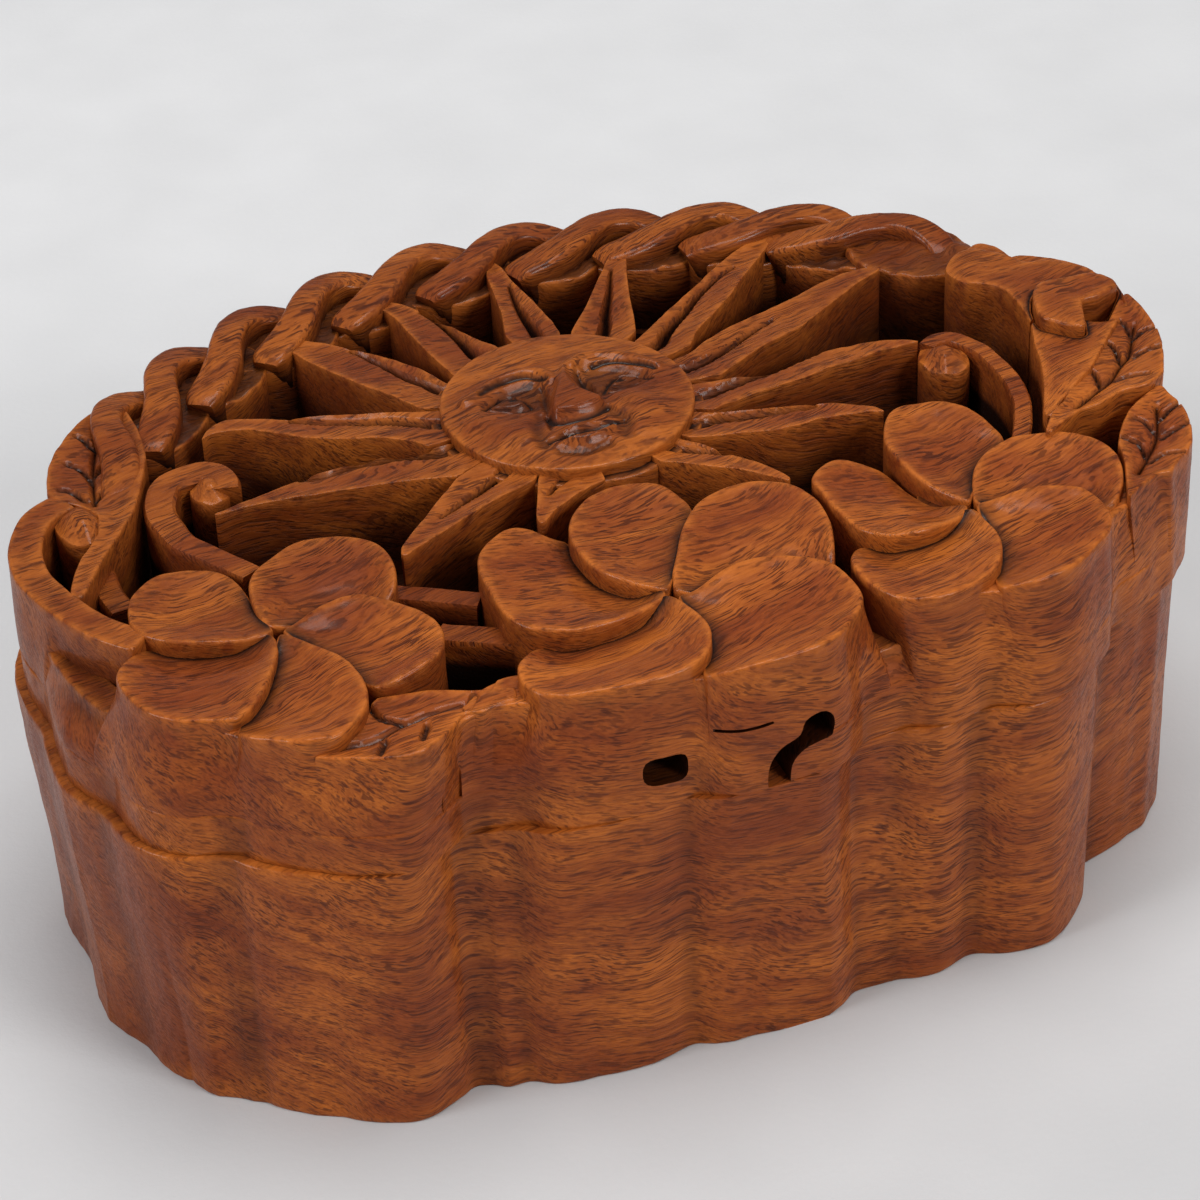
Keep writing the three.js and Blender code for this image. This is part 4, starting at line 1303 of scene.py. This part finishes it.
def petalPieces():
    c = Carving()
    for number in range(3):
        for k in range(5):
            if (number, k) in ((1, 2), (1, 3)):
                continue
            petalBlock(c, number, k)
        heart = seen([hearts[number]], topOf("heart"))[0]
        # the heart, low between the petals, gets stain and painted shade
        flatBlock(c, circle(heart, petalLook["heartHalf"] * plan["unit"]), topOf("heart"),
                  plan["inBoard"], 40 + number, rows=3, stainAndShade=0.6)
    for number in range(len(banks)):
        if number != frontBank:
            bankBlock(c, number)
    for number, band in enumerate(bands):
        flatBlock(c, bandLoop(band), band["top"], plan["inHoop"], 340 + number,
                  rows=16, grid=0.5, flow=band["flow"])
    c.piece("petals", "lid", topWood)
    # the pieces that the wall cuts run through are made and sawn one by one
    for k, name in ((2, "petal_front_left"), (3, "petal_front_right"), (None, "petal_front_bank")):
        c = Carving()
        if k is None:
            bankBlock(c, frontBank)
        else:
            petalBlock(c, 1, k)
        sawn(c.piece(name, "lid", topWood), wallSaw)


petalPieces()
bpy.data.objects.remove(wallSaw)
print("petals made")

sun = {"x": -1.9, "y": 13.9, "disc": 21.2, "hub": 22.8, "rimTop": 58.5, "dome": 1.0, "faceTop": 60.64}
rayLook = {
    "slope": 0.5, "notchDeep": (0.5, 2.3), "notchHalf": (0.3, 1.15), "rootReach": 0.78, "notchReach": 0.86,
    "grid": 0.4, "edge": 0.16, "rows": 9, "rough": 1.5,
}


def rayBlocks():
    c = Carving()
    centre = place((sun["x"], sun["y"]))
    for number, ray in enumerate(raysSeen):
        # the root runs on under the disc
        edge = seen(ray["edge"], topOf("ray"))
        edge = np.vstack([edge, centre + (edge[[-1, 0]] - centre) * rayLook["rootReach"]])
        outline = softened(edge, 0.45, 1)
        notch = seen(ray["notch"], topOf("ray") - 1)
        notch = np.vstack([notch, centre + (notch[-1:] - centre) * rayLook["notchReach"]])
        notch = resample(spline(notch, 30), 0.3, False)
        along = np.linspace(0, 1, len(notch))

        def height(x, y):
            xy = np.stack([x, y], 1)
            gaps = np.sqrt(((xy[:, None, :] - notch[None]) ** 2).sum(2))
            nearest, gap = gaps.argmin(1), gaps.min(1)
            share = along[nearest]
            fromEdge = distance(xy, outline, True)
            z = topOf("ray") - rayLook["slope"] * fromEdge / np.maximum(gap + fromEdge, 1e-6)
            half, deep = (a + (b - a) * share for a, b in (rayLook["notchHalf"], rayLook["notchDeep"]))
            groove = np.clip(1 - gap / half, 0, 1)
            z -= deep * groove
            z += 0.06 * wobble(x, y, 5, 60 + number) + 0.03 * wobble(x, y, 2, 160 + number)
            # stain and painted shade in the notch, darker towards the root
            return z, np.clip(1.3 * groove, 0, 1) * (0.6 + 0.4 * share)

        c.block(outline, height, plan["inBoard"], creases=[notch],
                grid=rayLook["grid"], edge=rayLook["edge"], rows=rayLook["rows"], rough=rayLook["rough"])
    return c.piece("sun_rays", "lid", topWood, 38)


rayBlocks()
print("rays made")

# The face as read from the photograph, in its pixels: lines with a width, areas with a softness,
# and for each its rise in millimetres and how dark it is made: paint on the pupils, stain and painted shade
# in the hollows and cuts
faceSeen = [
    {
        "area": [
            (476, 401), (486, 391), (500, 383), (520, 377), (540, 377), (549, 385), (552, 398),
            (548, 408), (530, 412), (505, 412), (485, 410),
        ],
        "soft": 2.2, "rise": -0.9, "stainAndShade": 0.46,
    },
    {
        "area": [(538, 380), (548, 385), (553, 398), (552, 410), (546, 416), (539, 404), (536, 392)],
        "soft": 1.3, "rise": -0.9, "stainAndShade": 0.83,
    },
    {
        "line": [(464, 398), (482, 387), (502, 375), (522, 370), (540, 370), (551, 378)], "soft": 1.5,
        "rise": 0.6,
    },
    {"line": [(480, 391), (502, 380), (524, 375), (545, 378)], "soft": 0.8, "rise": -0.4, "stainAndShade": 0.83},
    {
        "area": [(486, 405), (494, 398), (506, 393), (520, 394), (529, 400), (520, 405), (505, 407)],
        "soft": 1.0, "rise": 0.9,
    },
    {
        "line": [(483, 406), (494, 397), (506, 391), (520, 393), (532, 401)], "soft": 0.5,
        "rise": -0.3, "stainAndShade": 1,
    },
    {"line": [(486, 407), (505, 408), (520, 405), (532, 401)], "soft": 0.4, "rise": -0.2, "stainAndShade": 0.83},
    {"line": [(511, 398), (517, 397)], "soft": 0.75, "rise": -0.15, "stainAndShade": 1},
    {
        "area": [
            (571, 366), (577, 358), (602, 356), (628, 357), (650, 361), (656, 371), (640, 383),
            (612, 393), (590, 397), (578, 386),
        ],
        "soft": 2.2, "rise": -0.9, "stainAndShade": 0.39,
    },
    {
        "area": [
            (571, 366), (576, 362), (586, 370), (598, 382), (598, 394), (588, 397), (577, 386),
            (571, 375),
        ],
        "soft": 1.3, "rise": -1.0, "stainAndShade": 0.83,
    },
    {"line": [(570, 362), (580, 354), (600, 350), (626, 351), (656, 358)], "soft": 1.5, "rise": 0.5},
    {"line": [(592, 361), (612, 357), (640, 359), (654, 362)], "soft": 0.6, "rise": -0.4, "stainAndShade": 0.95},
    {
        "area": [(606, 384), (611, 376), (620, 370), (634, 370), (646, 372), (634, 378), (618, 384)],
        "soft": 1.0, "rise": 0.9,
    },
    {
        "line": [(603, 386), (610, 375), (620, 368), (634, 368), (652, 372)], "soft": 0.5,
        "rise": -0.3, "stainAndShade": 1,
    },
    {"line": [(607, 386), (620, 384), (636, 378), (650, 373)], "soft": 0.4, "rise": -0.2, "stainAndShade": 0.83},
    {"line": [(616, 378), (621, 377)], "soft": 0.75, "rise": -0.15, "stainAndShade": 1},
    {
        "area": [
            (561, 360), (554, 372), (551, 388), (549, 402), (549, 412), (556, 417), (574, 415),
            (592, 410), (605, 404), (605, 398), (594, 394), (582, 388), (574, 377), (569, 364),
        ],
        "soft": 1.4, "rise": 1.9, "from": (562, 358), "to": (578, 410),
    },
    {
        "line": [(548, 414), (556, 420), (574, 418), (594, 412), (608, 404)], "soft": 0.8,
        "rise": -0.6, "stainAndShade": 1,
    },
    {
        "area": [(543, 408), (551, 416), (556, 422), (552, 429), (545, 424)], "soft": 1.0,
        "rise": -0.6, "stainAndShade": 0.83,
    },
    {
        "area": [
            (553, 434), (562, 428), (574, 423), (590, 420), (606, 417), (624, 416), (612, 421),
            (596, 424), (578, 428), (564, 433),
        ],
        "soft": 0.9, "rise": 0.7,
    },
    {
        "area": [
            (560, 438), (576, 432), (596, 428), (614, 420), (618, 424), (608, 433), (592, 439),
            (574, 441),
        ],
        "soft": 1.0, "rise": 0.8,
    },
    {
        "line": [(549, 437), (564, 433), (580, 428), (600, 424), (624, 416)], "soft": 0.55,
        "rise": -0.6, "stainAndShade": 1,
    },
    {"line": [(562, 445), (584, 445), (608, 437)], "soft": 1.5, "rise": -0.5, "stainAndShade": 0.52},
    {"line": [(541, 414), (537, 426), (545, 440)], "soft": 1.6, "rise": -0.4, "stainAndShade": 0.46},
    {"line": [(612, 408), (627, 415), (626, 428)], "soft": 1.4, "rise": -0.4, "stainAndShade": 0.46},
    {"line": [(484, 420), (505, 428), (526, 432)], "soft": 4.5, "rise": 0.5},
    {"line": [(636, 396), (654, 402), (650, 416)], "soft": 4.5, "rise": 0.5},
]


def discPiece():
    c = Carving()
    middle = place((sun["x"], sun["y"]))
    unit = plan["unit"]
    radius = sun["disc"] * unit

    def hubHeight(x, y):
        r = np.hypot(x - middle[0], y - middle[1]) / (sun["hub"] * unit)
        # the hub between the ray roots gets stain and painted shade, most under the disc
        return topOf("hub") + 0.08 * wobble(x, y, 5, 3), 0.5 + 0.4 * smoothStep(0.97, 0.93, r)

    c.block(ellipse(sun["x"], sun["y"], sun["hub"], sun["hub"]), hubHeight, plan["inBoard"], rows=4)

    def on(points):
        return seen(points, sun["rimTop"] + 1.2)

    def height(x, y):
        xy = np.stack([x, y], 1)
        r = np.hypot(x - middle[0], y - middle[1]) / radius
        z = sun["rimTop"] + sun["dome"] * (1 - r**2)
        cut = np.zeros_like(x)
        for form in faceSeen:
            if "area" in form:
                loop = spline(on(form["area"]), 60, True)
                share = np.where(inside(xy, loop), distance(xy, loop, True) / form["soft"], 0)
            else:
                share = 1 - distance(xy, spline(on(form["line"]), 30)) / form["soft"]
            share = smoothStep(0, 1, share)
            rise = form["rise"]
            if "from" in form:
                top, tip = on([form["from"], form["to"]])
                way = tip - top
                rise = rise * np.clip(0.2 + 0.8 * ((xy - top) @ way) / (way @ way), 0.2, 1)
            z += rise * share
            cut = np.maximum(cut, form.get("stainAndShade", 0) * share)
        z += 0.05 * wobble(x, y, 4, 4) + 0.03 * wobble(x, y, 1.6, 14)
        return np.minimum(z, sun["faceTop"]), np.clip(cut, 0, 1)

    c.block(ellipse(sun["x"], sun["y"], sun["disc"], sun["disc"], steps=200), height,
            topOf("hub") - 1.5, grid=0.26, edge=0.3, rows=3, rough=0.4)
    c.piece("sun_disc", "lid", topWood, 60)


discPiece()
print("sun made")

leafLook = {
    "valley": 1.0, "reach": 4.5, "veinDeep": 0.8, "veinHalf": 0.6, "ribHalf": 0.5, "grid": 0.42,
    "edge": 0.25,
}


def leafBlocks():
    c = Carving()
    clear = keyLoop + joinery["sawCut"] * outward(keyLoop)
    for number, (leaf, outline) in enumerate(zip(leavesSeen, leafLoops)):
        top = topOf(leaf["top"])
        rib = spline(seen(leaf["rib"], top), 40)
        veins = [spline(seen(vein, top), 16) for vein in leaf["veins"]]

        def height(x, y):
            xy = np.stack([x, y], 1)
            fromRib, fromEdge = distance(xy, rib), distance(xy, outline, True)
            z = top - leaf.get("valley", leafLook["valley"]) * fromEdge / np.maximum(fromRib + fromEdge, 1e-6)
            groove = 0.75 * np.clip(1 - fromRib / leafLook["ribHalf"], 0, 1)
            for vein in veins:
                groove = np.maximum(groove, np.clip(1 - distance(xy, vein) / leafLook["veinHalf"], 0, 1))
            z += 0.07 * wobble(x, y, 5, 80 + number) - leafLook["veinDeep"] * groove
            # stain and painted shade in the rib and the veins
            return z, 0.95 * groove

        cuts = [clear] if inside(clear, outline).all() else []
        c.block(outline, height, plan["inHoop"], cuts=cuts, creases=[rib], grid=leafLook["grid"],
                edge=leafLook["edge"], rows=12, flow=plan["flow"])
    c.piece("leaves", "lid", topWood)


leafBlocks()
print("leaves made")


crownLook = {
    "rise": 2.9, "pit": 3.0, "pitReach": (4.5, 1.5), "gapShade": 0.35, "stainAndShade": 0.9,
    "grid": 0.6, "edge": 0.35,
    "knobRise": 0.4, "knobFall": 2.4, "knobFlat": 0.25, "knobGrid": 0.35, "knobEdge": 0.3,
}


def crownBlocks():
    c = Carving()
    clear = keyLoop + joinery["sawCut"] * outward(keyLoop)
    fan = softened(seen(crownSeen["fan"], topOf("fan")), 0.5)
    notch = seen([crownSeen["notch"]], topOf("fan"))[0]

    def fanHeight(x, y):
        rise = crownLook["rise"] * smoothStep(-14, 0, x - keyLoop[:, 0].min())
        xy = np.stack([x, y], 1)
        pit = smoothStep(*crownLook["pitReach"], np.hypot(*(xy - notch).T))
        # stain and painted shade in the pit and along the gap round the key
        stainAndShade = np.maximum(np.exp(-distance(xy, clear, True) / crownLook["gapShade"]), pit)
        z = topOf("fan") + rise - crownLook["pit"] * pit
        z += 0.3 * wobble(x, y, 30, 8) + 0.06 * wobble(x, y, 5, 90)
        return z, crownLook["stainAndShade"] * stainAndShade

    c.block(fan, fanHeight, plan["inBoard"], cuts=[clear], grid=crownLook["grid"], edge=crownLook["edge"])
    for name, sunk, seed in (("crest", 0.0, 401), ("bud", 0.2, 403)):
        flatBlock(c, softened(seen(crownSeen[name], topOf(name)), 0.5), topOf(name) - sunk, plan["inHoop"],
                  seed, rows=12, grid=0.5, flow=plan["flow"])
    for number, knob in enumerate(knobs):
        middle = seen([knob["at"]], topOf(knob["top"]))[0]
        angle = np.linspace(0, 2 * math.pi, 60, endpoint=False)
        outline = middle + np.array(knob["half"]) * np.stack([np.cos(angle), np.sin(angle)], 1)
        facets = 2 * math.pi * (np.arange(6) + 0.3 * number) / 6

        def knobHeight(x, y):
            u, v = (x - middle[0]) / knob["half"][0], (y - middle[1]) / knob["half"][1]
            slope = np.max([u * math.cos(a) + v * math.sin(a) for a in facets], 0)
            fall = crownLook["knobFall"] * np.clip(slope - crownLook["knobFlat"], 0, 1)
            return topOf(knob["top"]) + crownLook["knobRise"] - fall + 0.05 * wobble(x, y, 2.4, 95), 0 * x

        c.block(outline, knobHeight, plan["inBoard"], grid=crownLook["knobGrid"], edge=crownLook["knobEdge"])
    c.piece("crown_and_knobs", "lid", topWood, 30)


crownBlocks()
print("crown made")


keyLook = {"aboveBoard": 0.1, "grid": 0.4, "edge": 0.35, "rows": 14}


def keyBlock():
    c = Carving()

    def height(x, y):
        return topOf("key") + 0.1 * wobble(x, y, 9, 31) + 0.04 * wobble(x, y, 2.5, 32), 0 * x

    c.block(keyLoop, height, plan["boardTop"] + keyLook["aboveBoard"],
            grid=keyLook["grid"], edge=keyLook["edge"], rows=keyLook["rows"])
    piece = c.piece("key_carved", "key", topWood)
    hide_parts("key_bud")


keyBlock()
print("key made")

# Bands swept along their middle lines, read in the photograph's pixels; half widths in millimetres
ribbons = [
    {"top": 54.8, "half": (1.6, 1.8), "route": [(102, 572), (105, 582), (112, 595), (124, 610)]},
    {
        "top": 57.2, "half": (2.4, 1.8),
        "route": [
            (222, 488), (221, 478), (212, 471), (198, 470), (182, 475), (166, 483), (160, 497),
            (160, 512), (170, 527), (183, 541), (203, 550), (225, 560), (252, 572),
        ],
    },
    {
        "top": 57.2, "half": (1.4, 1.2),
        "route": [
            (927, 345), (936, 338), (950, 336), (966, 341), (981, 348), (995, 360), (1007, 372),
            (1016, 385), (1022, 400), (1023, 418), (1021, 436),
        ],
    },
    {"top": 54.4, "half": (1.6, 1.7), "route": [(392, 590), (402, 592), (440, 595), (480, 599)]},
    {"top": 54.4, "half": (1.8, 2.0), "route": [(438, 630), (449, 632), (480, 634), (522, 637)]},
]


class Growth(Tree):
    # a Geometry Nodes group with named inputs

    def __init__(self, name, inputs):
        self.group = bpy.data.node_groups.new(name, "GeometryNodeTree")
        face = self.group.interface
        for label, kind in inputs.items():
            face.new_socket(label, in_out="INPUT", socket_type="NodeSocket" + kind)
        face.new_socket("Geometry", in_out="OUTPUT", socket_type="NodeSocketGeometry")
        super().__init__(self.group)
        start = self.nodes.new("NodeGroupInput")
        self.given = {label: Wire(self, start.outputs[label]) for label in inputs}

    def bar(self, height, radius):
        # the outline of a bar two units wide, with rounded corners
        square = self.make("GeometryNodeCurvePrimitiveQuadrilateral", {"mode": "RECTANGLE"}, {
            "Width": 2.0, "Height": height})
        return self.make("GeometryNodeFilletCurve", {"mode": "POLY"}, {
            "Curve": square, "Count": 3, "Radius": radius})

    def swept(self, curve, profile):
        return self.make("GeometryNodeCurveToMesh", {}, {
            "Curve": curve, "Profile Curve": profile, "Fill Caps": True,
            "Scale": self.make("GeometryNodeInputRadius")})

    def roughened(self, form, scale):
        # moves every point a little, by noise
        spot = self.make("GeometryNodeInputPosition")
        colour = self.make("ShaderNodeTexNoise", {}, {"Vector": spot, "Scale": scale}, "Color")
        centred = self.make("ShaderNodeVectorMath", {"operation": "SUBTRACT"}, {
            0: colour, 1: (0.5, 0.5, 0.5)})
        return self.make("GeometryNodeSetPosition", {}, {
            "Geometry": form, "Offset": self.scaled(centred, self.given["Roughness"])})

    def real(self, form):
        return self.make("GeometryNodeRealizeInstances", {}, {0: form})

    def dressed(self, form):
        dress = self.make("GeometryNodeSetMaterial", {}, {
            "Geometry": self.real(form), "Material": self.given["Material"]})
        self.make("NodeGroupOutput", {}, {0: dress})
        return self.group


def ribbonTree():
    t = Growth("ribbon", {
        "Geometry": "Geometry", "Depth": "Float", "Round": "Float", "Floor": "Float",
        "Roughness": "Float", "Material": "Material"})
    depth = t.given["Depth"]
    route = t.make("GeometryNodeResampleCurve", {"mode": "LENGTH"}, {
        "Curve": t.given["Geometry"], "Length": 0.0006})
    profile = t.make("GeometryNodeResampleCurve", {"mode": "COUNT"}, {
        "Curve": t.bar(depth, t.given["Round"]), "Count": 96})
    hung = t.make("GeometryNodeTransform", {}, {
        "Geometry": profile, "Translation": t.point(0.0, depth * 0.5, 0.0)})
    rough = t.roughened(t.swept(route, hung), 260.0)
    # nothing goes below the floor
    x, y, z = t.parts(t.make("GeometryNodeInputPosition"))
    return t.dressed(t.make("GeometryNodeSetPosition", {}, {
        "Geometry": rough, "Position": t.point(x, y, t.calc("MAXIMUM", z, t.given["Floor"]))}))


def grown(tree, curve, name, values, sharp=42):
    # runs a tree on a curve and keeps the result as one plain mesh
    holder = linked(name + "_path", curve)
    modifier = holder.modifiers.new("tree", "NODES")
    modifier.node_group = tree
    for item in tree.interface.items_tree:
        if item.item_type == "SOCKET" and item.in_out == "INPUT" and item.name in values:
            modifier[item.identifier] = values[item.name]
    mesh = evaluated(holder)
    bpy.data.objects.remove(holder)
    mesh.name = name
    points = np.array([v.co[:] for v in mesh.vertices]) / mm
    # stain and painted shade on the lower sides of the strands and the bands
    stainAndShadeTop = values["Stain Top"] / mm
    low = 0.9 * smoothStep(stainAndShadeTop, stainAndShadeTop - 1.6, points[:, 2])
    thing = finished(name, mesh, {"deep": depthStainAndShade(points), "cut": low.tolist()}, sharp)
    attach(thing, "lid")
    return thing


def curveOf(name, strands):
    # each strand is a list of (x, y, z, radius) in metres
    curve = bpy.data.curves.new(name, "CURVE")
    curve.dimensions = "3D"
    curve.twist_mode = "Z_UP"
    for strand in strands:
        line = curve.splines.new("POLY")
        line.points.add(len(strand) - 1)
        for point, (x, y, z, radius) in zip(line.points, strand):
            point.co = (x, y, z, 1)
            point.radius = radius
    return curve


# Depth and rounding are multiples of a band's half width; the top of the stain and painted shade, and the
# roughness, are in metres
ribbonLook = {"stainAndShadeTop": 0.052, "depth": 14.0, "round": 0.22, "roughness": 0.00035, "steps": 60}


def ribbonPiece():
    strands = []
    for ribbon in ribbons:
        line = spline(seen(ribbon["route"], ribbon["top"]), ribbonLook["steps"])
        widths = np.linspace(*ribbon["half"], ribbonLook["steps"])
        strands.append([(x * mm, y * mm, ribbon["top"] * mm, w * mm) for (x, y), w in zip(line, widths)])
    return grown(ribbonTree(), curveOf("ribbon_routes", strands), "ribbons", {
        "Stain Top": ribbonLook["stainAndShadeTop"], "Depth": ribbonLook["depth"], "Round": ribbonLook["round"],
        "Floor": plan["inBoard"] * mm, "Roughness": ribbonLook["roughness"], "Material": topWood})


ribbonPiece()
print("ribbons made")

# One strand of the rope, from its thin tail to its hook: along, out and up in plan units, and its half width
strandPath = [
    (-24, -9.6, -0.8, 2.2), (-22.5, -8.6, -0.2, 3.0), (-18, -6.2, 0.5, 3.3), (-13.2, -2.6, 1.3, 3.1),
    (-9.4, 1.4, 1.6, 2.8), (-5.4, 4.6, 1.2, 2.8), (-0.6, 5.6, 0.5, 3.0), (4.2, 3.6, -0.9, 2.8),
    (6.6, 0.4, -2.4, 2.4), (5.6, -3.0, -3.8, 1.8),
]


def bumpBlocks():
    c = Carving()
    for number, (x, y, turn) in enumerate(ropePlaces()):

        def height(px, py):
            last = number == ropeShape["strands"] - 1
            top = topOf("ropeBand") - ropeShape["bumpSink"] + ropeShape["lastRise"] * last
            # the band under the strands gets stain and painted shade, the last bump less
            return top + 0.3 * wobble(px, py, 4, 100 + number), 0.6 - 0.35 * last + 0 * px

        c.block(ellipse(x, y, ropeShape["bumpLong"], ropeShape["bumpWide"], turn), height,
                plan["inHoop"], grid=0.8, edge=0.4, rows=6, flow=plan["flow"])
    c.piece("rope_band", "lid", topWood)


bumpBlocks()


def ropeTree():
    numbers = ("Half Long", "Half Wide", "Centre X", "Centre Y", "Top", "Start", "End", "Roughness")
    t = Growth("rope", {
        "Geometry": "Geometry", **dict.fromkeys(numbers, "Float"), "Strands": "Int", "Material": "Material"})
    given = t.given
    profile = t.make("GeometryNodeTransform", {}, {
        "Geometry": t.bar(2.6, 0.34), "Translation": (0, 1.0, 0)})
    path = t.make("GeometryNodeResampleCurve", {"mode": "COUNT"}, {"Curve": given["Geometry"], "Count": 64})

    # one point for each strand, spread along the oval arc
    share = t.make("GeometryNodeInputIndex") / (given["Strands"] - 1.0)
    angle = given["Start"] + share * (given["End"] - given["Start"])
    cosine, sine = t.calc("COSINE", angle), t.calc("SINE", angle)
    along, across = given["Half Long"] * cosine, given["Half Wide"] * sine
    spot = t.point(given["Centre X"] + along, given["Centre Y"] + across, given["Top"])
    row = t.make("GeometryNodePoints", {}, {"Count": given["Strands"], "Position": spot})
    heading = t.calc("ARCTAN2", given["Half Wide"] * cosine * -1.0, given["Half Long"] * sine)
    copies = t.make("GeometryNodeInstanceOnPoints", {}, {
        "Points": row, "Instance": t.swept(path, profile), "Rotation": t.point(0.0, 0.0, heading)})
    return t.dressed(t.roughened(t.real(copies), 300.0))


def ropePiece():
    unit = plan["unit"] * mm
    line = spline(strandPath, 60)
    strand = [(x * unit, y * unit, z * unit, r * unit) for x, y, z, r in line]
    centre = place((ropeShape["x"], ropeShape["y"])) * mm
    return grown(ropeTree(), curveOf("strand_path", [strand]), "rope_strands", {
        "Half Long": ropeShape["halfLong"] * unit, "Half Wide": ropeShape["halfWide"] * unit,
        "Centre X": float(centre[0]), "Centre Y": float(centre[1]), "Top": ropeShape["strandTop"] * mm,
        "Start": math.radians(ropeShape["start"]), "End": math.radians(ropeShape["end"]),
        "Stain Top": ropeShape["stainAndShadeTop"] * mm, "Roughness": 0.0004,
        "Strands": ropeShape["strands"], "Material": topWood}, 50)


ropePiece()
print("rope made")

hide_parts("lid_carving")
for node in ("base_floor", "lid_board", "turning_post", "post_collar", "key_peg"):
    for slot in frame["nodes"][node].material_slots:
        slot.material = boardWood


def camera():
    data = bpy.data.cameras.new("camera")
    data.lens, data.sensor_width = view["lens"], view["sensor"]
    data.clip_start, data.clip_end = 0.01, 10
    thing = linked("camera", data)
    middle = Vector((*shift, 0))
    eye, aim = (Vector(view["from"]) + middle) * mm, (Vector(view["aim"]) + middle) * mm
    look = (aim - eye).to_track_quat("-Z", "Y").to_matrix().to_4x4()
    thing.matrix_world = Matrix.Translation(eye) @ look @ Matrix.Rotation(math.radians(view["roll"]), 4, "Z")
    bpy.context.scene.camera = thing


camera()


def floorFinish():
    f = Finish("pale_floor")
    fibre = f.noise(f.spot, 900.0, 3.0, 0.6)
    soft = f.noise(f.spot, 40.0, 2.0, 0.5)
    colour = f.mix(f.span(soft, 0.3, 0.7), linear(224, 224, 225), linear(229, 229, 230))
    # the light falls off towards the front
    _, back, _ = f.parts(f.spot)
    colour = f.scaled(colour, f.span(back, -0.22, 0.3, 0.74, 1.0, smooth=True))
    bump = f.make("ShaderNodeBump", {}, {"Strength": 0.15, "Distance": 0.0004, "Height": fibre})
    return f.done({"Base Color": colour, "Roughness": 0.85, "Normal": bump, "Specular IOR Level": 0.2})


def stageParts():
    mesh = bpy.data.meshes.new("floor")
    rows = []
    for y, z in ((-3, 0), (1.6, 0), (1.9, 0.03), (2.1, 0.13), (2.2, 0.3), (2.25, 3.0)):
        rows.append([(-4, y, z), (4, y, z)])
    points = [p for row in rows for p in row]
    faces = [(2 * k, 2 * k + 1, 2 * k + 3, 2 * k + 2) for k in range(len(rows) - 1)]
    mesh.from_pydata(points, [], faces)
    mesh.materials.append(floorFinish())
    floor = linked("floor", mesh)


stageParts()

lamps = [
    {"name": "overhead", "at": (0.12, 0.14, 1.2), "size": 0.7, "watts": 7.3, "colour": (1, 0.995, 0.985)},
    {"name": "front", "at": (0.55, -0.85, 0.7), "size": 0.45, "watts": 6.0, "colour": (1, 0.99, 0.98)},
    {"name": "left", "at": (-1.1, -0.1, 0.7), "size": 0.6, "watts": 7.6, "colour": (0.97, 0.98, 1)},
]
for lamp in lamps:
    data = bpy.data.lights.new(lamp["name"], "AREA")
    data.shape, data.size, data.energy, data.color = "DISK", lamp["size"], lamp["watts"], lamp["colour"]
    thing = linked(lamp["name"], data)
    thing.location = lamp["at"]
    thing.rotation_euler = (Vector((0, 0, 0.03)) - Vector(lamp["at"])).to_track_quat("-Z", "Y").to_euler()


def world():
    room = bpy.data.worlds.new("studio")
    bpy.context.scene.world = room
    room.use_nodes = True
    t = Tree(room.node_tree)
    toCamera = t.make("ShaderNodeLightPath", {}, {}, "Is Camera Ray")
    lit = t.make("ShaderNodeBackground", {}, {"Color": (0.98, 0.99, 1.0), "Strength": 0.2})
    backdrop = t.make("ShaderNodeBackground", {}, {"Color": (0.82, 0.82, 0.83), "Strength": 1.0})
    both = t.make("ShaderNodeMixShader", {}, {0: toCamera, 1: lit, 2: backdrop})
    t.make("ShaderNodeOutputWorld", {}, {"Surface": both})


world()
bpy.context.scene.view_settings.view_transform = "Standard"
